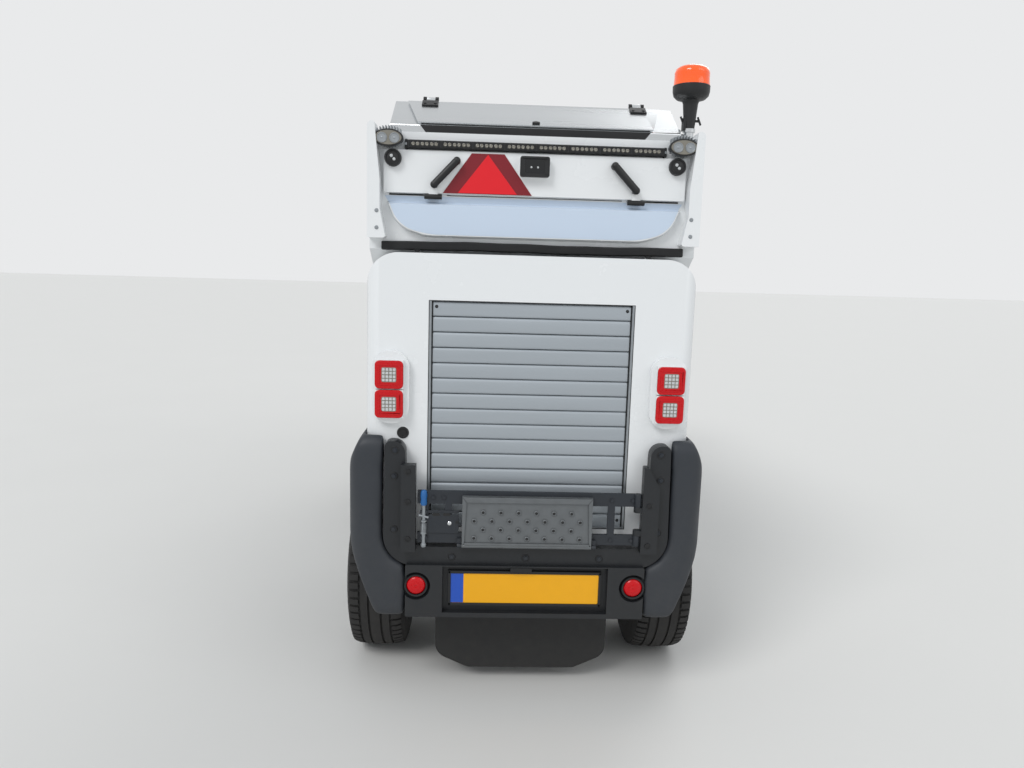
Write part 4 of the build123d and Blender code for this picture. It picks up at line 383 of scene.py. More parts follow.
def slab(bm, centre, size, turn=None):
    """A box with a middle, three sizes and an optional turn."""
    matrix = Matrix.Translation(Vector(centre)) @ (turn.to_4x4() if turn else Matrix.Identity(4))
    bmesh.ops.create_cube(bm, size=1, matrix=matrix @ Matrix.Diagonal((*size, 1)))


def rod(bm, start, end, radius, sides=24, end_radius=None):
    """A round bar or cone between two points."""
    start, end = Vector(start), Vector(end)
    along = end - start
    matrix = Matrix.Translation((start + end) / 2) @ along.to_track_quat("Z", "Y").to_matrix().to_4x4()
    end_radius = radius if end_radius is None else end_radius
    bmesh.ops.create_cone(
        bm, cap_ends=True, segments=sides, radius1=radius, radius2=end_radius, depth=along.length, matrix=matrix
    )


def ball(bm, centre, radius, around, rings):
    """A sphere."""
    bmesh.ops.create_uvsphere(
        bm, u_segments=around, v_segments=rings, radius=radius, matrix=Matrix.Translation(centre)
    )


def lathe(bm, profile, centre, axis, steps=32):
    """A profile of (radius, height) pairs turned round an axis through centre."""
    turn = Vector(axis).to_track_quat("Z", "Y").to_matrix()
    corners = [bm.verts.new(Vector(centre) + turn @ Vector((radius, 0, height))) for radius, height in profile]
    edges = [bm.edges.new(pair) for pair in zip(corners, corners[1:])]
    geom = corners + edges
    bmesh.ops.spin(
        bm, geom=geom, cent=centre, axis=axis, angle=2 * pi, steps=steps, use_merge=True, use_duplicate=False
    )


def torus(bm, centre, axis, radius, tube, steps=48, sides=12):
    """A round ring."""
    angles = [2 * pi * s / sides for s in range(sides + 1)]
    lathe(bm, [(radius + tube * cos(angle), tube * sin(angle)) for angle in angles], centre, axis, steps)


def sheet_plate(bm, outline, thickness, direction):
    """A flat plate with a given outline of 3-D points, pushed along a direction."""
    face = bm.faces.new([bm.verts.new(Vector(point)) for point in outline])
    pushed = bmesh.ops.extrude_face_region(bm, geom=[face])["geom"]
    moved = [v for v in pushed if isinstance(v, bmesh.types.BMVert)]
    bmesh.ops.translate(bm, verts=moved, vec=Vector(direction) * thickness)


def at_x(x, pairs):
    """Pairs of (y, z) as points that stand at one x."""
    return [(x, y, z) for y, z in pairs]


def at_y(y, pairs):
    """Pairs of (x, z) as points that stand at one y."""
    return [(x, y, z) for x, z in pairs]


def rounded(across, up, width, height, radius):
    """Pairs of a rounded rectangle's outline about a middle."""
    steps = 6
    pairs = []
    for quarter, (sx, sz) in enumerate(((1, 1), (-1, 1), (-1, -1), (1, -1))):
        middle = across + sx * (width / 2 - radius), up + sz * (height / 2 - radius)
        for step in range(steps + 1):
            angle = (quarter + step / steps) * pi / 2
            pairs.append((middle[0] + radius * cos(angle), middle[1] + radius * sin(angle)))
    return pairs


def round_angles(count):
    """Angles of a number of even places round a circle."""
    return [2 * pi * place / count for place in range(count)]


def oval(middle, width, height, count):
    """Points of an upright oval, given by its half width and half height."""
    return [middle + Vector((width * cos(angle), 0, height * sin(angle))) for angle in round_angles(count)]


def tilt(angle, axis="X"):
    """A turn about one axis, in radians."""
    return Matrix.Rotation(angle, 3, axis)


# Pieces


def add_object(name, data):
    """A new object in the scene."""
    made = bpy.data.objects.new(name, data)
    bpy.context.scene.collection.objects.link(made)
    return made


def dress(mesh, finish):
    """Gives a whole mesh one finish and smooth faces."""
    mesh.materials.clear()
    mesh.materials.append(MATERIALS[finish])
    mesh.polygons.foreach_set("use_smooth", [True] * len(mesh.polygons))


def round_edges(made, width, segments, angle):
    """Rounds the edges that turn by more than an angle in degrees."""
    rounding = made.modifiers.new("Edges", "BEVEL")
    rounding.width = width
    rounding.segments = segments
    rounding.limit_method = "ANGLE"
    rounding.angle_limit = radians(angle)
    rounding.harden_normals = True


def apply_modifiers(made, graph):
    """Turns a piece's evaluated shape into its mesh."""
    mesh = bpy.data.meshes.new_from_object(made.evaluated_get(graph))
    made.modifiers.clear()
    made.data = mesh
    return mesh


def carry(name, mesh, body):
    """Shows a mesh as a piece that rides on a body."""
    made = add_object(name, mesh)
    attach(made, body)
    return made


@contextmanager
def piece(name, body, finish, bevel=None, segments=2, smooth=40, slot=None, replaces=None):
    """Gives a bmesh to build one piece in, and then makes the piece of it."""
    bm = bmesh.new()
    yield bm
    bmesh.ops.remove_doubles(bm, verts=bm.verts, dist=1e-5)
    bmesh.ops.recalc_face_normals(bm, faces=bm.faces)
    mesh = bpy.data.meshes.new(name)
    bm.to_mesh(mesh)
    bm.free()
    dress(mesh, finish)
    mesh.set_sharp_from_angle(angle=radians(smooth))
    made = carry(name, mesh, body)
    if bevel:
        round_edges(made, bevel, segments, 35)
    if replaces:
        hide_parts(replaces)


def bead(name, loops, radius, body, finish, closed=True, slot=None):
    """A round bead that follows loops of points, made a mesh."""
    curve = bpy.data.curves.new(name, "CURVE")
    curve.dimensions = "3D"
    curve.bevel_depth = radius
    curve.bevel_resolution = 3
    curve.use_fill_caps = not closed
    for loop in loops:
        spline = curve.splines.new("POLY")
        spline.points.add(len(loop) - 1)
        for point, spot in zip(spline.points, loop):
            point.co = (*spot, 1)
        spline.use_cyclic_u = closed
    maker = bpy.data.objects.new(name + "_line", curve)
    mesh = bpy.data.meshes.new_from_object(maker)
    bpy.data.objects.remove(maker)
    mesh.name = name
    dress(mesh, finish)
    carry(name, mesh, body)


def step_holes():
    """Where the step plate is pierced: four staggered rows."""
    spots = []
    for row, count in enumerate((7, 6, 7, 6)):
        for place in range(count):
            spots.append(((place - (count - 1) / 2) * 0.0605, 0.629 + row * 0.0305))
    return spots


def walk_loops(bm):
    """The closed loops of a mesh that is only edges, each as a list of points."""
    loops = []
    left = set(bm.verts)
    while left:
        start = min(left, key=lambda vert: vert.index)
        loop, here, before = [], start, None
        while here in left:
            left.discard(here)
            loop.append(here.co.copy())
            onward = [e.other_vert(here) for e in here.link_edges if e.other_vert(here) is not before]
            before, here = here, next((v for v in onward if v in left), start)
        loops.append(loop)
    return loops


def pane_loops(node):
    """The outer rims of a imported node's panes, from a merged copy of its mesh."""
    bm = bmesh.new()
    bm.from_mesh(frame["nodes"][node].data)
    bmesh.ops.remove_doubles(bm, verts=bm.verts, dist=2e-5)
    keep = []
    for edge in bm.edges:
        if len(edge.link_faces) != 2 or edge.calc_face_angle(0) < radians(55):
            continue
        middle = (edge.verts[0].co + edge.verts[1].co) / 2
        outward = -Y if abs(middle.x) < 0.505 else X * (1 if middle.x > 0 else -1)
        if max(face.normal.dot(outward) for face in edge.link_faces) > 0.7:
            keep.append(edge)
    chosen = set(keep)
    bmesh.ops.delete(bm, geom=[edge for edge in bm.edges if edge not in chosen], context="EDGES")
    bmesh.ops.delete(bm, geom=[vert for vert in bm.verts if not vert.link_edges], context="VERTS")
    bm.verts.index_update()
    loops = walk_loops(bm)
    bm.free()
    return loops


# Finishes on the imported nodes

NODE_FINISH = {
    # slot in the record: finish
    "white_paint": "paint",
    "dark_paint": "chassis",
    "dark_plastic": "plastic",
    "stainless": "steel",
    "zinc_steel": "rack",
    "grey_plastic": "plastic",
    "black_plastic": "black",
    "rubber": "rubber",
    "tyre": "tyre",
    "wheel_paint": "wheel",
    "glass": "glass",
    "lamp_clear": "lens_clear",
    "lamp_red": "red",
    "lamp_amber": "amber",
    "seat_fabric": "fabric",
    "cast_iron": "iron",
    "chrome": "chrome",
    "bristle": "bristle",
    "aluminium": "shutter",
}
NODE_OWN_FINISH = {
    # node: finish that differs from its slot's
    "hopper_lamps": "black",
    "dashboard": "dash",
    "step_plate": "tread_plate",
    "rear_lamps": "paint",
    "mudflap": "flap_rubber",
    "rear_bumper": "trim",
}
NODE_EDGE = {
    # node: edge rounding in metres, where the real panel is folded or moulded
    "cab_shell": 0.006,
    "cab_door_left": 0.005,
    "cab_door_right": 0.005,
    "hopper": 0.006,
    "rear_hood": 0.008,
    "rear_bumper": 0.01,
    "side_tanks": 0.01,
    "intake_section": 0.006,
    "rear_door": 0.003,
    "air_cowl": 0.003,
    "cowl_flap": 0.002,
    "mirrors": 0.01,
    "gate": 0.002,
    "step_plate": 0.002,
    "engine_block": 0.012,
    "dashboard": 0.01,
}


class SWEEPER_OT_finishes(bpy.types.Operator):
    """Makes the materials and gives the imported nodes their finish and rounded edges"""

    bl_idname = "sweeper.finishes"
    bl_label = "Finish the packed nodes"

    def execute(self, context):
        make_materials()
        slots = {row["node"]: row["material_slot"] for row in frame["record"]["subparts"]}
        for name, node in frame["nodes"].items():
            finish = NODE_OWN_FINISH.get(name, NODE_FINISH[slots[name]])
            node.data.materials.clear()
            node.data.materials.append(MATERIALS[finish])
            if name in NODE_EDGE:
                weld = node.modifiers.new("Weld", "WELD")
                weld.merge_threshold = 0.00002
                round_edges(node, NODE_EDGE[name], 3, 38)
        return {"FINISHED"}


# Wheels


def tyre_profile(half, radius, bead, groove):
    """Half of a tyre's outside from the bead to the middle of the tread, as (radius, across)."""
    side = (  # above the bead, in from the side
        (0, 0.039), (0.012, 0.036), (0.02, 0.024), (0.04, 0.01), (0.062, 0.003), (0.066, 0.0015),
        (0.07, 0.003), (0.092, 0.004), (0.112, 0.009),
    )
    tread = (  # below the grooved tread, in from the side
        (0.01, 0.02), (0.005, 0.034), (0.003, 0.052), (0.0025, 0.06), (0.0015, 0.086), (0.001, 0.094),
    )
    return [
        *((bead + up, half - inward) for up, inward in side),
        (radius - 0.02, half - 0.016),
        *((radius - down - groove, half - inward) for down, inward in tread),
        (radius - groove, 0.0),
    ]


def build_tyre(bm, side, y, sizes):
    """A road tyre: smooth sidewall with a ridge, four grooves, and blocks cut in the ribs."""
    groove = sizes.tread_depth
    half = tyre_profile(0.1125, TYRE_RADIUS, 0.1905, groove)
    centre = Vector((side * TYRE_X, y, AXLE_Z))
    steps = sizes.tread_blocks * 3
    lathe(bm, half + [(r, -a) for r, a in reversed(half[:-1])], centre, X, steps)
    bmesh.ops.remove_doubles(bm, verts=bm.verts, dist=1e-5)
    bmesh.ops.recalc_face_normals(bm, faces=bm.faces)
    blocks = []
    for face in bm.faces:
        spot = face.calc_center_median() - centre
        across = abs(spot.x)
        if sqrt(spot.y**2 + spot.z**2) < TYRE_RADIUS - 0.016 - groove:
            continue
        in_groove = abs(across - 0.056) < 0.005 or 0.018 < across < 0.023
        count = int((atan2(spot.z, spot.y) + pi) / (2 * pi) * steps)
        between_shoulder_blocks = across > 0.055 and count % 3 == 0
        if not in_groove and not between_shoulder_blocks:
            blocks.append(face)
    raised = bmesh.ops.extrude_face_region(bm, geom=blocks)["geom"]
    for vert in (v for v in raised if isinstance(v, bmesh.types.BMVert)):
        out = vert.co - centre
        out.x = 0
        vert.co += out.normalized() * groove
    bmesh.ops.delete(bm, geom=blocks, context="FACES")


class SWEEPER_OT_tyres(bpy.types.Operator):
    """Four road tyres with grooves and tread blocks in place of the plain ones, and their hub caps"""

    bl_idname = "sweeper.tyres"
    bl_label = "Tyres"

    def execute(self, context):
        for name in ("front_left", "front_right", "rear_left", "rear_right"):
            body = f"wheel_{name}"
            side = 1 if name.endswith("left") else -1
            y = FRONT_AXLE if name.startswith("front") else REAR_AXLE
            with piece(f"tyre_tread_{name}", body, "tyre", smooth=32, replaces=f"tyre_{name}") as bm:
                build_tyre(bm, side, y, context.scene.sweeper_sizes)
            disc = side * (TYRE_X + 0.03 + 0.012)
            with piece(f"hub_cap_{name}", body, "zinc", bevel=0.0008, segments=1) as bm:
                cap = [(0.0, 0.03), (0.024, 0.029), (0.033, 0.023), (0.037, 0.012), (0.04, 0.0), (0.0, 0.0)]
                lathe(bm, cap, (disc + side * 0.0225, y, AXLE_Z), (side, 0, 0), 28)
                for angle in round_angles(6):
                    nut = Vector((disc, y + 0.062 * cos(angle), AXLE_Z + 0.062 * sin(angle)))
                    rod(bm, nut, nut + X * side * 0.018, 0.0055, 12)
                    rod(bm, nut, nut + X * side * 0.0035, 0.0135, 20)
        return {"FINISHED"}


# Rear hood, shutter and its lamps


class SWEEPER_OT_shutter(bpy.types.Operator):
    """Roll-formed slats of the rear shutter with its guide rails, gasket and rivets"""

    bl_idname = "sweeper.shutter"
    bl_label = "Rear shutter"

    def execute(self, context):
        sizes = context.scene.sweeper_sizes
        # The hood's opening: its foot, its top and half its width
        low, high, half = 0.641, 1.431, 0.35
        middle, height = (low + high) / 2, high - low
        pitch = height / sizes.slat_count
        face = HOOD_Y - 0.0072

        with piece("shutter_slats", "chassis", "shutter", smooth=50, replaces="rear_shutter") as bm:
            for slat in range(sizes.slat_count):
                foot = low + slat * pitch
                section = (
                    (-0.01, 0.0008), (-0.0006, 0.0008), (0.001, 0.0024), (0.0014, 0.007), (0.0015, pitch / 2),
                    (0.0013, pitch - 0.012), (0.0004, pitch - 0.006), (-0.0022, pitch - 0.0022),
                    (-0.01, pitch - 0.0012),
                )
                outline = [(-half + 0.01, face + depth, foot + rise) for depth, rise in section]
                sheet_plate(bm, outline, 2 * half - 0.02, X)

        # Dark rubber sheet behind the slats: painted shade that shows through the joints between them
        with piece("shutter_backing", "chassis", "rubber", bevel=0.0008) as bm:
            slab(bm, (0, HOOD_Y - 0.019, middle), (2 * half + 0.022, 0.004, height + 0.022))

        with piece("shutter_rails", "chassis", "zinc", bevel=0.0008, slot="aluminium") as bm:
            for side in SIDES:
                slab(bm, (side * (half - 0.006), HOOD_Y - 0.0085, middle), (0.0075, 0.0185, height - 0.001))
            slab(bm, (0, HOOD_Y - 0.009, low + 0.0035), (2 * half - 0.014, 0.018, 0.006))

        with piece("shutter_gasket", "chassis", "rubber", bevel=0.0006, segments=1) as bm:
            for side in SIDES:
                slab(bm, (side * (half - 0.001), HOOD_Y - 0.004, middle), (0.0024, 0.009, height + 0.003))
                slab(bm, (side * (half - 0.0125), HOOD_Y - 0.009, middle), (0.004, 0.01, height - 0.002))
            for level in (low, high):
                slab(bm, (0, HOOD_Y - 0.004, level), (2 * half, 0.009, 0.003))

        with piece("shutter_rivets", "chassis", "black") as bm:
            for side in SIDES:
                for level in (high - 0.02, low + 0.03):
                    lathe(bm, [(0, 0.0035), (0.003, 0.003), (0.0055, 0.001), (0.006, 0), (0, 0)],
                          (side * (half - 0.026), face + 0.001, level), Y, 14)
        return {"FINISHED"}


class SWEEPER_OT_tail_lamps(bpy.types.Operator):
    """Square red lamps with clear gridded centres in their white pods, and the round fog lamps"""

    bl_idname = "sweeper.tail_lamps"
    bl_label = "Tail lamps"

    def execute(self, context):
        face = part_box("rear_lamps")[1][1]
        lamps = [(side * 0.478, z) for side in SIDES for z in (1.081, 1.181)]
        fog_lamps = [(side * 0.379, 0.448) for side in SIDES]

        with piece("tail_lamp_frames", "chassis", "red", bevel=0.004, segments=3) as bm:
            for x, z in lamps:
                sheet_plate(bm, at_y(face - 0.006, rounded(x, z, 0.096, 0.096, 0.016)), 0.0105, Y)

        with piece("tail_lamp_grounds", "chassis", "lens_smoked", bevel=0.0012) as bm:
            for x, z in lamps:
                sheet_plate(bm, at_y(face + 0.001, rounded(x, z, 0.051, 0.051, 0.007)), 0.004, Y)

        with piece("tail_lamp_lenses", "chassis", "lens_clear", bevel=0.001, segments=1) as bm:
            for x, z in lamps:
                for row in range(4):
                    for column in range(4):
                        cell = (x + (column - 1.5) * 0.012, face + 0.0052, z + (row - 1.5) * 0.012)
                        slab(bm, cell, (0.0094, 0.0026, 0.0094))

        with piece("tail_lamp_ridges", "chassis", "red", bevel=0.0012) as bm:
            for x, z in lamps:
                for shift in (0.034, -0.034):
                    slab(bm, (x, face + 0.0047, z + shift), (0.074, 0.0028, 0.006))
                for shift in (0.034, -0.034):
                    slab(bm, (x + shift, face + 0.0047, z), (0.006, 0.0028, 0.062))

        with piece("fog_lamp_lenses", "chassis", "red") as bm:
            lens = (
                (0.0, 0.0105), (0.004, 0.0105), (0.0045, 0.012), (0.014, 0.0115), (0.0145, 0.01), (0.024, 0.009),
                (0.03, 0.005), (0.033, 0.0), (0.0, 0.0),
            )
            for x, z in fog_lamps:
                lathe(bm, lens, (x, BUMPER_Y - 0.01, z), Y, 40)

        with piece("fog_lamp_cups", "chassis", "black") as bm:
            cup = (
                (0.0, 0.0), (0.033, 0.0), (0.034, 0.009), (0.04, 0.01), (0.042, 0.004), (0.047, 0.0),
                (0.047, -0.004), (0.0, -0.004),
            )
            for x, z in fog_lamps:
                lathe(bm, cup, (x, BUMPER_Y - 0.013, z), Y, 40)
        return {"FINISHED"}


class SWEEPER_OT_plate(bpy.types.Operator):
    """Blank yellow number plate with its blue strip, its frame and the lamp over it"""

    bl_idname = "sweeper.plate"
    bl_label = "Number plate"

    def execute(self, context):
        y, z = PLATE_Y, 0.436

        with piece("plate_ground", "chassis", "plate_yellow", bevel=0.0008) as bm:
            sheet_plate(bm, at_y(y + 0.006, rounded(0, z, 0.52, 0.11, 0.008)), 0.0025, Y)

        with piece("plate_strip", "chassis", "plate_blue") as bm:
            slab(bm, (0.237, y + 0.0088, z), (0.044, 0.0008, 0.106))

        with piece("plate_frame", "chassis", "black", bevel=0.0012) as bm:
            for level in (-1, 1):
                slab(bm, (0, y + 0.006, z + level * 0.059), (0.536, 0.012, 0.01))
            for side in SIDES:
                slab(bm, (side * 0.264, y + 0.006, z), (0.01, 0.012, 0.126))
            slab(bm, (0, y + 0.003, z), (0.53, 0.005, 0.12))
            slab(bm, (0.015, y + 0.01, 0.508), (0.075, 0.022, 0.018))
        return {"FINISHED"}


class SWEEPER_OT_bumper_trim(bpy.types.Operator):
    """Bolts of the moulded bumper, the black plug on the hood, and the rounded fenders"""

    bl_idname = "sweeper.bumper_trim"
    bl_label = "Bumper trim"

    def execute(self, context):
        spots = [(x, TRIM_Y, 0.549) for x in (0, 0.257, -0.257)]
        spots += [(side * 0.458, TRIM_Y, z) for side in SIDES for z in (0.835, 0.646)]
        spots += [(side * 0.455, TRIM_Y, 0.925) for side in SIDES]

        with piece("bumper_bolt_cups", "chassis", "black") as bm:
            for x, y, z in spots:
                torus(bm, (x, y, z), Y, 0.0125, 0.0018, 24, 8)
                lathe(bm, [(0, 0.0006), (0.012, 0.0006), (0.0125, 0.0)], (x, y, z), Y, 24)

        with piece("bumper_bolts", "chassis", "rack", bevel=0.0006, segments=1) as bm:
            for x, y, z in spots:
                rod(bm, (x, y, z), (x, y + 0.0022, z), 0.0095, 20)
                rod(bm, (x, y + 0.002, z), (x, y + 0.006, z), 0.0065, 6)

        with piece("hood_plug", "chassis", "black") as bm:
            plug = (0, 0.002), (0.012, 0.002), (0.014, 0.004), (0.019, 0.004), (0.021, 0.0), (0, 0)
            lathe(bm, plug, (0.434, HOOD_Y - 0.0002, 0.975), Y, 28)

        # The fenders' own solid, smoothed: the real ones flow in one moulding
        with piece("fender_mouldings", "chassis", "plastic", smooth=180) as bm:
            bm.from_mesh(frame["nodes"]["rear_fenders"].data)
        fenders = bpy.data.objects["fender_mouldings"]
        voxels = fenders.modifiers.new("Voxels", "REMESH")
        voxels.mode = "VOXEL"
        voxels.voxel_size = 0.009
        voxels.use_smooth_shade = True
        run = fenders.modifiers.new("Rounded", "SMOOTH")
        run.factor = 0.5
        run.iterations = 34
        dress(apply_modifiers(fenders, context.evaluated_depsgraph_get()), "plastic")
        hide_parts("rear_fenders")
        return {"FINISHED"}


# Tail door, band, seal and hopper lamps


class SWEEPER_OT_tail_door(bpy.types.Operator):
    """Warning triangle, camera, handles and round lamps of the drop-down door"""

    bl_idname = "sweeper.tail_door"
    bl_label = "Tail door"

    def execute(self, context):
        face = DOOR_Y

        camera_x, camera_z = 0.0045, 1.8835
        marker_x, marker_z = 0.48, 1.9
        outer = ((0.313, 1.79), (0.011, 1.79), (0.107, 1.923), (0.217, 1.923))
        inner = ((0.262, 1.792), (0.062, 1.792), (0.162, 1.92))

        with piece("warning_triangle_edge", "rear_door", "film_dark", bevel=0.0004, segments=1) as bm:
            sheet_plate(bm, at_y(face + 0.0005, outer), 0.0018, Y)

        # The middle's red film glows a little: a painted glow, as the film is no lamp
        with piece("warning_triangle_middle", "rear_door", "film_red", bevel=0.0003, segments=1) as bm:
            sheet_plate(bm, at_y(face + 0.0015, inner), 0.0014, Y)

        with piece("camera_housing", "rear_door", "black", bevel=0.0015) as bm:
            sheet_plate(bm, at_y(face + 0.01, rounded(camera_x, camera_z, 0.0995, 0.0675, 0.008)), 0.017, Y)
            for side in SIDES:
                slab(bm, (camera_x + side * 0.0385, face + 0.0275, camera_z), (0.012, 0.003, 0.052))
            slab(bm, (camera_x, face + 0.028, 1.9115), (0.089, 0.008, 0.005))

        with piece("camera_window", "rear_door", "dark_glass") as bm:
            sheet_plate(bm, at_y(face + 0.0265, rounded(camera_x, 1.8825, 0.062, 0.04, 0.004)), 0.0012, Y)

        with piece("camera_lenses", "rear_door", "lens_clear") as bm:
            eye = (0, 0.0028), (0.0022, 0.0024), (0.0034, 0.0012), (0.0036, 0), (0, 0)
            for shift in (-0.01, 0.012):
                lathe(bm, eye, (camera_x + shift, face + 0.0276, 1.881), Y, 16)

        with piece("door_handles", "rear_door", "black") as bm:
            for side in SIDES:
                start = Vector((side * 0.266, face + 0.022, 1.895))
                end = Vector((side * 0.341, face + 0.022, 1.816))
                along = (end - start).normalized()
                rod(bm, start + along * 0.004, end - along * 0.004, 0.0125, 20)
                for spot in (start, end):
                    ball(bm, spot, 0.0128, 16, 10)
                    rod(bm, (spot.x, face, spot.z), (spot.x, face + 0.022, spot.z), 0.0115, 18)

        with piece("marker_lamp_rings", "rear_door", "black") as bm:
            ring = (
                (0.0, 0.0165), (0.012, 0.0165), (0.014, 0.015), (0.02, 0.015), (0.0225, 0.0185), (0.0262, 0.018),
                (0.0283, 0.0145), (0.0288, 0.0), (0, 0),
            )
            for side in SIDES:
                lathe(bm, ring, (side * marker_x, face, marker_z), Y, 32)

        with piece("marker_lamp_centres", "rear_door", "lens_clear") as bm:
            dome = (0, 0.003), (0.003, 0.0026), (0.0052, 0.001), (0.0055, 0), (0, 0)
            for side in SIDES:
                for shift in (-0.0045, 0.0045):
                    lathe(bm, dome, (side * marker_x + shift, face + 0.016, marker_z + 1.2 * shift), Y, 16)

        with piece("door_hinge_covers", "hopper", "black", bevel=0.001) as bm:
            for side in SIDES:
                low = Vector((side * 0.345 - 0.0295, REAR_AXLE + 0.393, 1.777))
                rod(bm, low, low + X * 0.059, 0.0086, 20)
        return {"FINISHED"}


class SWEEPER_OT_tail_band(bpy.types.Operator):
    """The bare pale band on the bulged tail panel, and the rubber seal under it"""

    bl_idname = "sweeper.tail_band"
    bl_label = "Tail band and seal"

    def execute(self, context):
        bulge = REAR_AXLE + 0.395
        seam, edge = HOPPER_Y + 0.0002, bulge + 0.0002

        # The band's pale blue is partly a painted reflection of the sky on the upward-facing bulge
        with piece("tail_band", "hopper", "band") as bm:
            half = [(0.4905, 1.7502), (0.4618, 1.681), (0.3683, 1.651)]
            corners = [bm.verts.new((x, bulge + 0.0001, z)) for x, z in half]
            corners += [bm.verts.new((-x, bulge + 0.0001, z)) for x, z in reversed(half)]
            bm.faces.new(corners)
            bmesh.ops.bevel(
                bm, geom=corners[1:5], offset=0.044, affect="VERTICES", segments=7, profile=0.5, material=-1
            )
            pushed = bmesh.ops.extrude_face_region(bm, geom=bm.faces[:])["geom"]
            bmesh.ops.translate(bm, verts=[v for v in pushed if isinstance(v, bmesh.types.BMVert)], vec=Y * 0.0006)
            ledge = [*at_y(HOPPER_Y + 0.0004, ((-0.4985, 1.76), (0.4985, 1.76))),
                     *at_y(edge, ((0.4903, 1.75), (-0.4903, 1.75)))]
            sheet_plate(bm, ledge, 0.0006, (0, 0.4, 0.92))
            top = (-0.4985, 1.7595), (0.4985, 1.7595), (0.51, 1.779), (-0.51, 1.779)
            sheet_plate(bm, at_y(seam, top), 0.0007, Y)

        with piece("hopper_seal", "hopper", "rubber", bevel=0.005, segments=3) as bm:
            slab(bm, (0, HOPPER_Y + 0.007, 1.613), (1.04, 0.022, 0.03))
            lengthways = [e for e in bm.edges if abs((e.verts[0].co - e.verts[1].co).x) > 0.5]
            bmesh.ops.subdivide_edges(bm, edges=lengthways, cuts=60, use_grid_fill=True)
            for vert in bm.verts:
                vert.co.z += 0.0014 * sin(vert.co.x * 9) + 0.0007 * sin(vert.co.x * 31 + 1)

        with piece("tip_ear_caps", "hopper", "rubber") as bm:
            outline = (
                (1.897, 1.603), (1.953, 1.587), (1.96, 1.5712), (1.957, 1.57), (1.951, 1.5835),
                (1.897, 1.5975),
            )
            for side in SIDES:
                sheet_plate(bm, at_x(side * 0.3885, outline), side * 0.0158, X)

        with piece("door_seam_strips", "hopper", "rubber") as bm:
            for side in SIDES:
                slab(bm, (side * 0.436, HOPPER_Y + 0.001, 1.7835), (0.118, 0.003, 0.005))
            slab(bm, (0, HOPPER_Y + 0.0008, 1.784), (0.6, 0.002, 0.0022))

        with piece("tail_fin_screws", "hopper", "zinc") as bm:
            screw = (0, 0.003), (0.005, 0.0025), (0.007, 0), (0, 0)
            for side in SIDES:
                for z in (1.668, 1.724):
                    lathe(bm, screw, (side * 0.53, HOPPER_Y + 0.06, z), Y, 16)
        return {"FINISHED"}


